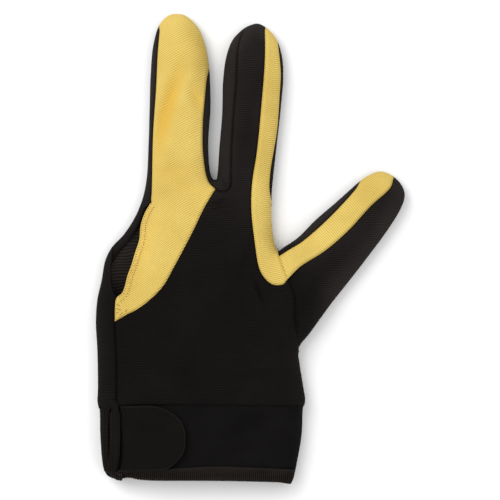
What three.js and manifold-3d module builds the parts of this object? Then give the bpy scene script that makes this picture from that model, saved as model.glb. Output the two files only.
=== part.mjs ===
// Three-finger billiard glove for the left hand, lying palm down with the back of the hand up.
// Millimetres. +Z is up, +Y runs to the fingertips, +X to the thumb. The origin is the middle of
// the glove's footprint, on the surface that it lies on.
import * as THREE from "three";
import { mergeVertices } from "three/addons/utils/BufferGeometryUtils.js";
import Module from "manifold-3d";

const wasm = await Module();
wasm.setup();

// Driving dimensions
const WALL = 1.0; // knit cloth
const CUFF_WALL = 1.4; // padded cuff cloth
const GAP = 0.3; // clearance between two pieces
const SEAM = 0.22; // how far each piece is set back from a seam
const LEAST_SQUARE = 0.4; // a row that meets a seam at a flatter slant than this is set back no further
const TUCK = { depth: 1.3, reach: 12 }; // how the thumb's back slips below the hand's at their fold
const RIM = 4.0; // height of the glove's widest line, and the round below it
const SHOULDER = 12.0; // width over which the back rises from the rim to its height
const SHOULDER_ROUND = 2.4; // how full the shoulder is, where 2 is a quarter of an ellipse
const RIM_HOLDS = 4.0; // width along the rim in which the folds fade out
const CROWN_REACH = 42.0; // width over which the crown of the hand goes on rising
const CROWN = 1.5; // how much the crown adds
const FINGER_HEIGHT = 11.8;
const HAND_HEIGHT = 13.8;
const THUMB_HEIGHT = 11.0;
const FINGER_ROOTS = { y: 38, over: 50 }; // where the fingers' height starts to change to the hand's
// Where it changes to the thumb's: along a run over the plan, and past a place on X
const THUMB_ROOT = { run: [0.72, 0.4], start: 8, over: 16, x: 16, overX: 6 };
const CUFF_SEAM_Y = -74.4; // where the cuff is sewn to the hand
const BINDING_Y = -105.0; // where the ribbed binding starts
const VENT = { x: -65.3, width: 2.4 }; // slit in the cuff
const TAPE = { width: 2.7, thickness: 1.1 }; // tape that binds the slit
const STRAP = { lift: 1.5, thickness: 1.6 }; // tab above the cuff's surface
const HOOK = { left: -58, right: -36, low: -100, high: -79, thickness: 0.9 };
const HEM = { width: 3.0, height: 2.4, top: [-50.2, 28], low: [-72.6, -21.8] }; // rolled hem of the opening
const PALM_LINE = 0.06; // how far the palm's outline may leave out a bend
const BEYOND = 130; // well outside the glove, for the blocks that cut it

const BLACK = 0x1e1c1a;
const CUFF_BLACK = 0x1c1a1a;
const YELLOW = 0xd9bc65;

// The outline as seen from above, from the left end of the cuff round the fingers to its right end,
// in rows of x and y
const sides = {
  cuffLeft: [[-64.6, -110.9], [-68.4, -108.9], [-70.3, -105.4], [-71.2, -100], [-72, -88], [-72.3, -76.5]],
  handLeft: [
    [-73, -73.5], [-72.8, -66.5], [-73.1, -48.3], [-73.8, -34.8], [-73.1, -24.3], [-71, -14.7],
    [-69.2, -5.1], [-65.9, 1.2], [-60.6, 6.9], [-55.8, 14.1], [-51.7, 23.2],
  ],
  middleFinger: [
    [-49.5, 33.3], [-48.5, 50.1], [-48, 66.9], [-47.5, 83.7], [-46.2, 98.1], [-43.4, 107.4], [-39, 112],
    [-35.3, 112.7], [-31.4, 112], [-25.5, 106.6], [-22, 98.4], [-20, 87], [-19.4, 75], [-19.4, 66.9],
    [-20.4, 52], [-19.9, 40],
  ],
  crotch: [[-18.7, 34.8], [-17.1, 32.6], [-15.7, 34.8]],
  indexFinger: [
    [-14.6, 47.7], [-13.2, 64.5], [-12.7, 81.3], [-11.1, 92.8], [-8.3, 100.5], [-3, 106.6], [2.4, 108],
    [7.2, 106.4], [11.9, 101.5], [14.8, 93.3], [15.6, 83.7], [14.3, 66.9], [11.9, 45.3], [10, 26.1],
    [10, 13.2], [11.4, 3],
  ],
  thumb: [
    [13.2, -1], [16.9, 1.2], [23.2, 5.5], [31.6, 13.9], [41.9, 22.8], [52.4, 32.1], [57, 35.3], [62.7, 37.1],
    [68.8, 34.6], [72.7, 30.2], [73.9, 25.9], [72.4, 20.6], [66.9, 11.2], [52.4, -8.4], [38.8, -25.7],
    [28.7, -39.6],
  ],
  handRight: [[22.9, -47.6], [23.2, -54], [24.9, -66], [25.8, -72.5]],
  cuffRight: [[25.1, -76.5], [24.4, -89], [22.6, -101], [21.4, -106.4], [19.8, -110.5], [18.6, -112.5]],
};

// Seams and free edges inside the outline, in rows of x and y
const lines = {
  yellowLeft: [
    [-43.4, 107.4], [-44.5, 93.8], [-45.2, 78], [-46.8, 54.9], [-47.3, 28.5], [-48.3, 21.8], [-51.5, 14.1],
    [-53.9, 2.6], [-58.2, -10.8], [-60.8, -20], [-63.7, -23.3], [-64.7, -34.4],
  ],
  yellowRight: [[-20, 87], [-20.9, 78], [-22.4, 59.7], [-22.2, 45.3], [-19.8, 32.8], [-16.7, 29]],
  yellowLow: [
    [-16.7, 29], [-22.2, 19.4], [-27, 9.3], [-36.1, -8], [-42.3, -18.5], [-52.4, -27.6], [-59.6, -31.5],
    [-64.7, -34.4],
  ],
  gussetSeam: [[-64.7, -34.4], [-63.8, -53.1], [-63.7, -68.4], [-64.2, -75.5]],
  indexSeam: [[-3, 106.6], [-5.8, 97], [-6.7, 79.4], [-8, 64], [-9.3, 40.5], [-10.4, 30.4]],
  indexHook: [[-10.4, 30.4], [-12.2, 27.6], [-16.7, 29]],
  stripeLeft: [
    [7.2, 106.4], [7.1, 90.9], [5.3, 67.4], [3.4, 47.7], [0.9, 30.9], [0.6, 18.9], [2.1, 4.5], [5, -8.9],
    [13.1, -17.1],
  ],
  stripeJoint: [[13.2, -1], [15.1, -7], [17.8, -14.2]],
  stripeEnd: [[13.1, -17.1], [17.8, -14.2]],
  thumbStripeUpper: [
    [13.8, -2.9], [18.5, 0.1], [24.2, 3.5], [34.1, 11.8], [44.5, 22.3], [52.8, 31.6], [57.5, 34.6],
    [62.7, 37.1],
  ],
  thumbStripeLower: [
    [17.8, -14.2], [23.7, -8.4], [35.7, -0.7], [47.1, 9.2], [57.5, 20.6], [67.4, 30], [68.8, 34.6],
  ],
  thumbFold: [[17.8, -14.2], [19.1, -17.3], [20.7, -22.4], [21, -32.9], [22.6, -44.9], [22.9, -47.6]],
  tape: [
    [-68.4, -104], [-68.4, -76], [-66.8, -72.6], [-64.4, -71.3], [-62.6, -73], [-62.3, -76], [-62.3, -102],
  ],
  strapTop: [[-60.2, -74.8], [-44.2, -74.6], [-39.3, -76.7], [-34.1, -80.4], [-31.3, -85.2], [-30.7, -89]],
  strapLow: [[-60.2, -104.4], [-45.7, -104.6], [-39.7, -104.5], [-35, -101.2], [-31.7, -95.1], [-30.7, -91]],
};

// Soft dents and folds: middle, direction in degrees from +X, half length, half width and depth
const folds = [
  { x: -37, y: 68, turn: 62, length: 16, width: 4.2, depth: 1.4 },
  { x: -27, y: 74, turn: 112, length: 13, width: 3.2, depth: 1.0 },
  { x: 4.5, y: -20, turn: -50, length: 6, width: 1.6, depth: 0.7 },
  { x: -14.5, y: 21, turn: 20, length: 4, width: 1.8, depth: 0.8 },
  { x: -42, y: -4, turn: 58, length: 15, width: 5.0, depth: 0.7 },
  { x: 38, y: -8, turn: 45, length: 17, width: 5.0, depth: 0.7 },
];

const clamp01 = (value) => Math.min(1, Math.max(0, value));
const mix = (a, b, share) => a + (b - a) * share;
const smooth = (value) => clamp01(value) ** 2 * (3 - 2 * clamp01(value));
const between = (p, q, share) => [mix(p[0], q[0], share), mix(p[1], q[1], share)];
const distance = (p, q) => Math.hypot(p[0] - q[0], p[1] - q[1]);

// A row of points as a smooth line with evenly dense points
function curve(points, steps = 6) {
  if (points.length < 3) return points;
  const knots = points.map(([x, y]) => new THREE.Vector3(x, y, 0));
  const path = new THREE.CatmullRomCurve3(knots, false, "centripetal");
  return path.getPoints((points.length - 1) * steps).map((p) => [p.x, p.y]);
}

const seam = Object.fromEntries(Object.entries(lines).map(([name, points]) => [name, curve(points)]));
const outline = curve(Object.values(sides).flat(), 4);
const reversed = (line) => [...line].reverse();
const chain = (...parts) => parts.flat().filter((p, i, all) => i === 0 || distance(p, all[i - 1]) > 1e-6);

// The stretch of the outline between the places nearest to two points, in the direction from a to b
function edge(a, b) {
  const [start, stop] = [a, b].map((p) => nearest(outline, p).index);
  return start < stop ? outline.slice(start, stop + 1) : reversed(outline.slice(stop, start + 1));
}

// The nearest point of a line to p, as its distance, its place along the line and its direction from p
function nearest(line, p) {
  let best = { distance: Infinity };
  let before = 0;
  for (let i = 0; i + 1 < line.length; i += 1) {
    const [a, b] = [line[i], line[i + 1]];
    const span = distance(a, b);
    const share = clamp01(((p[0] - a[0]) * (b[0] - a[0]) + (p[1] - a[1]) * (b[1] - a[1])) / span ** 2);
    const point = between(a, b, share);
    const away = distance(point, p);
    if (away < best.distance) {
      const inward = [(b[1] - a[1]) / span, -(b[0] - a[0]) / span];
      best = { distance: away, along: before + share * span, index: i + Math.round(share), point, inward };
    }
    before += span;
  }
  return best;
}

// The point at a place along a line, and the line's direction there
function placeAlong(line, along) {
  let left = along;
  for (let i = 0; i + 1 < line.length; i += 1) {
    const [a, b] = [line[i], line[i + 1]];
    const span = distance(a, b);
    if (left <= span || i + 2 === line.length) {
      const heading = [(b[0] - a[0]) / span, (b[1] - a[1]) / span];
      return { point: between(a, b, clamp01(left / span)), heading };
    }
    left -= span;
  }
  return { point: line[0], heading: [1, 0] };
}

const pointAlong = (line, along) => placeAlong(line, along).point;

// How far a place lies on the thumb, from 0 on the hand to 1 on the thumb
function onThumb([x, y]) {
  const { run, start, over, overX } = THUMB_ROOT;
  return smooth((x * run[0] + y * run[1] - start) / over) * smooth((x - THUMB_ROOT.x) / overX);
}

// Height that the back reaches well inside the outline
function fullHeight(p) {
  const hand = mix(FINGER_HEIGHT, HAND_HEIGHT, smooth((FINGER_ROOTS.y - p[1]) / FINGER_ROOTS.over));
  return mix(hand, THUMB_HEIGHT, onThumb(p));
}

const foldDepth = (p) => folds.reduce((sum, fold) => {
  const turn = THREE.MathUtils.degToRad(fold.turn);
  const [dx, dy] = [p[0] - fold.x, p[1] - fold.y];
  const along = (dx * Math.cos(turn) + dy * Math.sin(turn)) / fold.length;
  const across = (-dx * Math.sin(turn) + dy * Math.cos(turn)) / fold.width;
  return sum + fold.depth * Math.exp(-(along ** 2) - across ** 2);
}, 0);

// Height and outward normal of the glove's back over a point of the plan, where it may lie lower by sink
function back(p, sink = 0) {
  const rim = nearest(outline, p);
  const share = clamp01(rim.distance / SHOULDER);
  const profile = Math.sqrt(1 - (1 - share) ** SHOULDER_ROUND);
  const turn = (SHOULDER_ROUND / 2) * (1 - share) ** (SHOULDER_ROUND - 1);
  const steepness = turn / Math.max(profile, 1e-4) / SHOULDER;
  const crown = CROWN * smooth(rim.distance / CROWN_REACH);
  const rise = fullHeight(p) - RIM - sink;
  const inset = smooth(rim.distance / RIM_HOLDS);
  const z = RIM + rise * profile + crown - foldDepth(p) * inset;
  const inward = rim.distance > 1e-3
    ? [(p[0] - rim.point[0]) / rim.distance, (p[1] - rim.point[1]) / rim.distance]
    : rim.inward;
  const slope = rise * steepness;
  const normal = new THREE.Vector3(-slope * inward[0], -slope * inward[1], 1).normalize();
  return { z, normal };
}

// A point of the cloth over p, pushed out along the normal by lift
function clothPoint(p, lift, sink) {
  const { z, normal } = back(p, sink);
  return new THREE.Vector3(p[0], p[1], z + GAP / 2).addScaledVector(normal, lift);
}

// Rows of plan points between two side lines. Each station is a pair of points that one row joins.
function planRows(left, right, stations, rowLength, columns) {
  const ends = stations.map(([a, b]) => [nearest(left, a).along, nearest(right, b).along]);
  const rows = [];
  ends.slice(0, -1).forEach((start, i) => {
    const stop = ends[i + 1];
    const reach = Math.max(Math.abs(stop[0] - start[0]), Math.abs(stop[1] - start[1]));
    const count = Math.max(i === 0 ? 3 : 1, Math.round(reach / rowLength));
    for (let step = i === 0 ? 0 : 1; step <= count; step += 1) {
      const a = placeAlong(left, mix(start[0], stop[0], step / count));
      const b = placeAlong(right, mix(start[1], stop[1], step / count));
      rows.push(planRow(a, b, columns));
    }
  });
  return rows;
}

// One row from a to b, closer at the ends, and set back square to each seam that it ends on
function planRow(a, b, columns) {
  const width = distance(a.point, b.point);
  const run = [(b.point[0] - a.point[0]) / width, (b.point[1] - a.point[1]) / width];
  const setBack = ({ point, heading }) => {
    const square = Math.max(LEAST_SQUARE, Math.abs(run[0] * heading[1] - run[1] * heading[0]));
    return nearest(outline, point).distance > SEAM ? SEAM / square / width : 0;
  };
  const [low, high] = [setBack(a), 1 - setBack(b)];
  return Array.from({ length: columns + 1 }, (_, i) => {
    const even = i / columns;
    const share = mix(even, (1 - Math.cos(Math.PI * even)) / 2, 0.6);
    return between(a.point, b.point, mix(low, high, share));
  });
}

// Moves the first and last rows back from the seams that they end on
function trimEnds(rows, first, last) {
  const trimmed = rows.map((row) => row);
  if (first) trimmed[0] = rows[0].map((p, i) => between(p, rows[1][i], first / distance(p, rows[1][i])));
  const n = rows.length - 1;
  if (last) trimmed[n] = rows[n].map((p, i) => between(p, rows[n - 1][i], last / distance(p, rows[n - 1][i])));
  return trimmed;
}

// A closed skin between an upper and a lower grid of points
function skin(upper, lower) {
  const rows = upper.length;
  const columns = upper[0].length;
  const points = [...upper.flat(), ...lower.flat()];
  const faces = [];
  const quad = (a, b, c, d) => faces.push(a, b, c, a, c, d);
  const at = (layer, row, column) => layer * rows * columns + row * columns + column;
  for (let r = 0; r + 1 < rows; r += 1) {
    for (let c = 0; c + 1 < columns; c += 1) {
      quad(at(0, r, c), at(0, r, c + 1), at(0, r + 1, c + 1), at(0, r + 1, c));
      quad(at(1, r, c), at(1, r + 1, c), at(1, r + 1, c + 1), at(1, r, c + 1));
    }
    quad(at(0, r, 0), at(0, r + 1, 0), at(1, r + 1, 0), at(1, r, 0));
    const e = columns - 1;
    quad(at(0, r + 1, e), at(0, r, e), at(1, r, e), at(1, r + 1, e));
  }
  for (let c = 0; c + 1 < columns; c += 1) {
    quad(at(0, 0, c + 1), at(0, 0, c), at(1, 0, c), at(1, 0, c + 1));
    const e = rows - 1;
    quad(at(0, e, c), at(0, e, c + 1), at(1, e, c + 1), at(1, e, c));
  }
  return closedGeometry(points, faces);
}

// A geometry of shared points, with its faces turned outwards
function closedGeometry(points, faces) {
  const geometry = new THREE.BufferGeometry();
  const numbers = points.flatMap((p) => [p.x, p.y, p.z]);
  geometry.setAttribute("position", new THREE.Float32BufferAttribute(numbers, 3));
  geometry.setIndex(volume(points, faces) < 0 ? reversed(faces) : faces);
  geometry.computeVertexNormals();
  return geometry;
}

function volume(points, faces) {
  let sum = 0;
  for (let i = 0; i < faces.length; i += 3) {
    const [a, b, c] = [points[faces[i]], points[faces[i + 1]], points[faces[i + 2]]];
    sum += a.dot(b.clone().cross(c)) / 6;
  }
  return sum;
}

function mesh(name, geometry, color, roughness = 0.9) {
  const made = new THREE.Mesh(geometry, new THREE.MeshStandardMaterial({ color, roughness, metalness: 0 }));
  made.name = name;
  return made;
}

// Cloth over rows of plan points, with its outer side lifted off the glove's back, or lower by sink(p)
function clothSkin(rows, { wall = WALL, lift = 0, sink = () => 0 } = {}) {
  const layer = (height) => rows.map((row) => row.map((p) => clothPoint(p, height, sink(p))));
  return skin(layer(lift), layer(lift - wall));
}

// Joins and cuts
function solid(geometry) {
  const bare = geometry.clone();
  bare.deleteAttribute("normal");
  if (bare.attributes.uv) bare.deleteAttribute("uv");
  const merged = mergeVertices(bare, 1e-4);
  return new wasm.Manifold(new wasm.Mesh({
    numProp: 3,
    vertProperties: merged.attributes.position.array,
    triVerts: new Uint32Array(merged.index.array),
  }));
}

function geometryOf(body) {
  const { vertProperties, triVerts } = body.getMesh();
  const geometry = new THREE.BufferGeometry();
  geometry.setAttribute("position", new THREE.BufferAttribute(vertProperties, 3));
  geometry.setIndex(new THREE.BufferAttribute(triVerts, 1));
  geometry.computeVertexNormals();
  return geometry;
}

function block(low, high) {
  const size = high.map((value, i) => value - low[i]);
  const middle = high.map((value, i) => (value + low[i]) / 2);
  return solid(new THREE.BoxGeometry(...size).translate(...middle));
}

// Fingers and back of the hand
function middleFingerPanel() {
  const left = chain(edge([-39, 112], [-43.4, 107.4]), seam.yellowLeft);
  const right = chain(edge([-31.4, 112], [-20, 87]), seam.yellowRight, seam.yellowLow);
  const stations = [
    [[-38, 112.4], [-32.7, 112.4]],
    [[-43.4, 107.4], [-25.8, 107]],
    [[-44.5, 93.8], [-21.2, 93.8]],
    [[-46.8, 54.9], [-22.4, 54.9]],
    [[-47.3, 28.5], [-16.7, 29]],
    [[-51.5, 14.1], [-24.5, 14.6]],
    [[-58.2, -10.8], [-41, -16.5]],
    [[-63.7, -23.3], [-56, -29.6]],
    [[-64.6, -32.6], [-62.6, -33.2]],
  ];
  return mesh("middle_finger_panel", clothSkin(planRows(left, right, stations, 6, 7)), YELLOW);
}

function backPanel() {
  const left = chain(
    edge([2.4, 108], [-3, 106.6]), seam.indexSeam, seam.indexHook, seam.yellowLow, seam.gussetSeam,
  );
  const right = chain(
    edge([2.4, 108], [7.2, 106.4]), seam.stripeLeft, seam.stripeEnd, seam.thumbFold,
    edge([22.9, -47.6], [25.8, -76]),
  );
  const stations = [
    [[0.4, 107.9], [4.2, 107.7]],
    [[-3, 106.6], [7.1, 106.4]],
    [[-5.8, 97], [7.2, 97]],
    [[-8, 64], [5, 64]],
    [[-10.4, 30.4], [0.9, 30.9]],
    [[-16.7, 29], [0.5, 22]],
    [[-27, 9.3], [2.1, 4.5]],
    [[-42.3, -18.5], [13.1, -17.1]],
    [[-52.4, -27.6], [20.7, -22.4]],
    [[-64.7, -34.4], [21, -32.9]],
    [[-64, -50], [22.9, -47.6]],
    [[-64.2, CUFF_SEAM_Y + GAP / 2], [25.5, CUFF_SEAM_Y + GAP / 2]],
  ];
  return mesh("back_panel", clothSkin(planRows(left, right, stations, 6.5, 10)), BLACK);
}

function indexStripe() {
  const right = chain(edge([7.2, 106.4], [13.2, -1]), seam.stripeJoint);
  const stations = [
    [[7.2, 104], [10, 103.6]],
    [[7.1, 98], [12.6, 100]],
    [[5.3, 67.4], [14.3, 66.9]],
    [[0.9, 30.9], [10, 28]],
    [[2.1, 4.5], [11.9, 1.6]],
    [[5, -8.9], [15.1, -7]],
    [[13, -16.6], [17.6, -13.9]],
  ];
  const rows = planRows(seam.stripeLeft, right, stations, 7, 4);
  return mesh("index_stripe", clothSkin(trimEnds(rows, 0, SEAM)), YELLOW);
}

function thumbStripe() {
  const stations = [
    [[13.8, -2.9], [17.8, -14.2]],
    [[24.2, 3.5], [30, -4.6]],
    [[34.1, 11.8], [41, 3.5]],
    [[52.8, 32.1], [59.5, 22.6]],
    [[62.7, 37.1], [69.3, 33.8]],
  ];
  const rows = planRows(seam.thumbStripeUpper, seam.thumbStripeLower, stations, 7, 5);
  return mesh("thumb_stripe", clothSkin(trimEnds(rows, SEAM, 0)), YELLOW);
}

function thumbPanel() {
  const upper = chain(reversed(seam.thumbStripeLower), seam.thumbFold);
  const stations = [
    [[68.6, 32.6], [71.3, 32.2]],
    [[62, 25], [73.2, 22.3]],
    [[47.1, 9.2], [57.5, -1.6]],
    [[35.7, -0.7], [48, -14]],
    [[17.8, -14.2], [38.8, -25.7]],
    [[21, -32.9], [28.7, -39.6]],
    [[22.3, -42.6], [25.8, -43.6]],
  ];
  const rows = planRows(upper, edge([68.8, 34.6], [22.9, -47.6]), stations, 7, 6);
  const sink = (p) => TUCK.depth * (1 - smooth(nearest(seam.thumbFold, p).distance / TUCK.reach));
  return mesh("thumb_panel", clothSkin(trimEnds(rows, SEAM, 0), { sink }), BLACK);
}

// Narrow strips along the outline
function strip(name, outer, inner, stations, rowLength, columns = 2) {
  return mesh(name, clothSkin(planRows(outer, inner, stations, rowLength, columns)), BLACK);
}

function thumbGusset() {
  const stations = [
    [[14.4, -0.3], [14.9, -2.1]],
    [[31.6, 13.9], [32.6, 10.4]],
    [[52.4, 32.1], [52.8, 31.2]],
  ];
  return strip("thumb_gusset", edge([13.2, -1], [62.7, 37.1]), seam.thumbStripeUpper, stations, 7);
}

function fingerGusset() {
  const outer = edge([-20, 87], [-3, 106.6]);
  const inner = chain(seam.yellowRight, reversed(seam.indexHook), reversed(seam.indexSeam));
  const stations = [
    [[-19.6, 79], [-20.8, 79]],
    [[-20.4, 52], [-22.4, 52]],
    [[-18.6, 34.8], [-19.8, 32.8]],
    [[-17.1, 32.8], [-16.7, 29]],
    [[-15.8, 34.8], [-10.4, 30.4]],
    [[-14.6, 47.7], [-9.1, 47.7]],
    [[-12.7, 81.3], [-6.7, 79.4]],
    [[-8.3, 100.5], [-5.0, 100]],
    [[-6, 104], [-4.3, 103]],
  ];
  return strip("finger_gusset", outer, inner, stations, 6, 3);
}

function outerGusset() {
  const outer = edge([-46.2, 98.1], [-51.7, 23.2]);
  const stations = [
    [[-46.2, 97.5], [-44.3, 97.5]],
    [[-48, 66.9], [-46, 66.9]],
    [[-49.5, 33.3], [-47.2, 33.3]],
    [[-50.4, 28.5], [-47.3, 28.5]],
  ];
  return strip("outer_gusset", outer, seam.yellowLeft, stations, 7);
}

function sideGusset() {
  const outer = edge([-71, -14.7], [-73, -76]);
  const inner = chain(seam.yellowLeft, seam.gussetSeam);
  const stations = [
    [[-72.8, -23.2], [-63.6, -23]],
    [[-73.8, -34.8], [-64.7, -34.4]],
    [[-73.1, -52], [-63.8, -53.1]],
    [[-73.1, CUFF_SEAM_Y + GAP / 2], [-64.1, CUFF_SEAM_Y + GAP / 2]],
  ];
  return strip("side_gusset", outer, inner, stations, 6.5, 4);
}

// Hem that rolls round the edge of the side opening, on top of the palm's rim
function openingHem() {
  const side = edge([-49.5, 33.3], [-73.8, -34.8]);
  const top = nearest(side, HEM.top).along;
  const low = nearest(side, HEM.low).along;
  const steps = 12;
  const path = Array.from({ length: steps + 1 }, (_, i) => {
    const p = pointAlong(side, mix(low, top, i / steps));
    const { normal } = back(p);
    return new THREE.Vector3(p[0], p[1], RIM + GAP / 2 + HEM.height / 2)
      .addScaledVector(normal.setZ(0).normalize(), -HEM.width / 2);
  });
  const section = new THREE.Shape().absellipse(0, 0, HEM.height / 2, HEM.width / 2, 0, 2 * Math.PI);
  const geometry = new THREE.ExtrudeGeometry(section, {
    steps: steps * 2, curveSegments: 8, bevelEnabled: false, extrudePath: new THREE.CatmullRomCurve3(path),
  });
  return mesh("opening_hem", geometry, BLACK);
}

// A line without the points that lie within tolerance of the straight run between their neighbours
function thinned(line, tolerance) {
  const away = line.slice(1, -1).map((p) => nearest([line[0], line.at(-1)], p).distance);
  const most = Math.max(0, ...away);
  if (most <= tolerance) return [line[0], line.at(-1)];
  const split = away.indexOf(most) + 1;
  return [...thinned(line.slice(0, split + 1), tolerance), ...thinned(line.slice(split), tolerance).slice(1)];
}

// Palm with the palm sides of the fingers: a tray with a round lower edge, open at the wrist
function palmPanel() {
  const hand = thinned(edge([-73, -73.5], [25.8, -72.5]), PALM_LINE);
  const wristEnd = [[25.6, -90], [-73, -90]];
  const shape = new THREE.Shape([...hand, ...wristEnd].map(([x, y]) => new THREE.Vector2(x, y)));
  const tray = (inset) => solid(new THREE.ExtrudeGeometry(shape, {
    depth: 2 * RIM, bevelEnabled: true, bevelSegments: 3, bevelThickness: RIM - inset,
    bevelSize: RIM - inset, bevelOffset: -RIM,
  }).translate(0, 0, RIM));
  const above = block([-BEYOND, -BEYOND, RIM - GAP / 2], [BEYOND, BEYOND, BEYOND]);
  const wrist = block([-BEYOND, -BEYOND, -BEYOND], [BEYOND, CUFF_SEAM_Y + GAP / 2, BEYOND]);
  return mesh("palm_panel", geometryOf(tray(0).subtract(tray(WALL)).subtract(above).subtract(wrist)), BLACK);
}

// One closed section of the cuff between two points of its sides, as outer points and normals
function cuffSection(left, right) {
  const topSteps = 14;
  const roundSteps = 3;
  const width = distance(left, right);
  const section = [];
  for (let i = 0; i <= topSteps; i += 1) {
    const share = mix(i / topSteps, (1 - Math.cos((Math.PI * i) / topSteps)) / 2, 0.7);
    const p = between(left, right, share);
    const { z, normal } = back(p);
    section.push({ at: new THREE.Vector3(p[0], p[1], z), normal });
  }
  const corner = (side, turn) => {
    const inner = between(left, right, side > 0 ? 1 - RIM / width : RIM / width);
    const normal = new THREE.Vector3(side * Math.cos(turn), 0, -Math.sin(turn));
    return { at: new THREE.Vector3(inner[0], inner[1], RIM).addScaledVector(normal, RIM), normal };
  };
  for (let i = 1; i <= roundSteps; i += 1) section.push(corner(1, (Math.PI / 2) * (i / roundSteps)));
  for (let i = roundSteps; i >= 1; i -= 1) section.push(corner(-1, (Math.PI / 2) * (i / roundSteps)));
  return section;
}

// A hollow band through a row of sections, with its wall inside
function band(sections, wall) {
  const ring = sections[0].length;
  const spots = sections.flat();
  const inner = spots.map(({ at, normal }) => at.clone().addScaledVector(normal, -wall));
  const points = [...spots.map(({ at }) => at), ...inner];
  const faces = [];
  const quad = (a, b, c, d) => faces.push(a, b, c, a, c, d);
  const at = (layer, row, i) => layer * sections.length * ring + row * ring + (i % ring);
  const last = sections.length - 1;
  for (let i = 0; i < ring; i += 1) {
    for (let r = 0; r < last; r += 1) {
      quad(at(0, r, i), at(0, r + 1, i), at(0, r + 1, i + 1), at(0, r, i + 1));
      quad(at(1, r, i), at(1, r, i + 1), at(1, r + 1, i + 1), at(1, r + 1, i));
    }
    quad(at(0, 0, i), at(0, 0, i + 1), at(1, 0, i + 1), at(1, 0, i));
    quad(at(0, last, i), at(1, last, i), at(1, last, i + 1), at(0, last, i + 1));
  }
  return closedGeometry(points, faces);
}

function cuffSections(top, bottom, count) {
  const [leftSide, rightSide] = [edge([-72.8, -66.5], [-64.6, -110.9]), edge([24.9, -66], [18.6, -112.5])];
  const along = ([left, right]) => [nearest(leftSide, left).along, nearest(rightSide, right).along];
  const [start, stop] = [along(top), along(bottom)];
  return Array.from({ length: count + 1 }, (_, i) => cuffSection(
    pointAlong(leftSide, mix(start[0], stop[0], i / count)),
    pointAlong(rightSide, mix(start[1], stop[1], i / count)),
  ));
}

function cuffBand() {
  const top = [[-72.2, CUFF_SEAM_Y - GAP / 2], [25.2, CUFF_SEAM_Y - GAP / 2]];
  const bottom = [[-70.4, BINDING_Y + GAP], [21.8, BINDING_Y + GAP]];
  const whole = solid(band(cuffSections(top, bottom, 5), CUFF_WALL));
  const half = VENT.width / 2;
  const vent = block([VENT.x - half, -BEYOND, RIM], [VENT.x + half, 0, BEYOND]);
  return mesh("cuff_band", geometryOf(whole.subtract(vent)), CUFF_BLACK, 0.8);
}

function cuffBinding() {
  const top = [[-70.3, BINDING_Y], [21.7, BINDING_Y]];
  const bottom = [[-64.6, -110.9], [18.6, -112.5]];
  return mesh("cuff_binding", band(cuffSections(top, bottom, 4), 2 * WALL), BLACK);
}

// Tape round the vent, laid on the cuff
function slitBinding() {
  const path = seam.tape.filter((_, i) => i % 2 === 0);
  const rows = path.map((p, i) => {
    const [a, b] = [path[Math.max(0, i - 1)], path[Math.min(path.length - 1, i + 1)]];
    const half = TAPE.width / 2 / distance(a, b);
    const side = [(b[1] - a[1]) * half, (a[0] - b[0]) * half];
    return [-1, 0, 1].map((share) => [p[0] + share * side[0], p[1] + share * side[1]]);
  });
  const cloth = { wall: TAPE.thickness, lift: TAPE.thickness + GAP };
  return mesh("slit_binding", clothSkin(rows, cloth), BLACK, 0.8);
}

// Tab of the closure and the hook patch below it
function wristStrap() {
  const stations = [
    [[-60.2, -74.8], [-60.2, -104.4]],
    [[-44.2, -74.6], [-44.2, -104.6]],
    [[-34.1, -80.4], [-35, -101.2]],
    [[-30.7, -89], [-30.7, -91]],
  ];
  const rows = planRows(seam.strapTop, seam.strapLow, stations, 4, 6);
  const cloth = { wall: STRAP.thickness, lift: STRAP.lift + STRAP.thickness };
  return mesh("wrist_strap", clothSkin(rows, cloth), CUFF_BLACK, 0.75);
}

function hookPatch() {
  const steps = 4;
  const rows = Array.from({ length: steps + 1 }, (_, i) => {
    const x = mix(HOOK.left, HOOK.right, i / steps);
    return Array.from({ length: steps + 1 }, (_, k) => [x, mix(HOOK.high, HOOK.low, k / steps)]);
  });
  const cloth = { wall: HOOK.thickness, lift: HOOK.thickness + GAP };
  return mesh("hook_patch", clothSkin(rows, cloth), BLACK, 0.7);
}

const glove = new THREE.Group();
glove.add(
  palmPanel(), backPanel(), middleFingerPanel(), indexStripe(), thumbStripe(), thumbPanel(), thumbGusset(),
  fingerGusset(), outerGusset(), sideGusset(), openingHem(), cuffBand(), cuffBinding(), slitBinding(),
  wristStrap(), hookPatch(),
);

export default glove;
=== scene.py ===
"""Three-finger billiard glove for the left hand, black knit with yellow stripes, lying palm down.

The glove is put together as a glove maker does it: the palm and the panels of the back, the yellow
stripes, the hems of the side opening, the cuff with its binding and vent, and last the tab. Lengths
are in millimetres and become metres when a mesh is made.
"""

import math

import bmesh
import bpy
import numpy as np
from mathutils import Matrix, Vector
from mathutils.geometry import delaunay_2d_cdt


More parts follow.
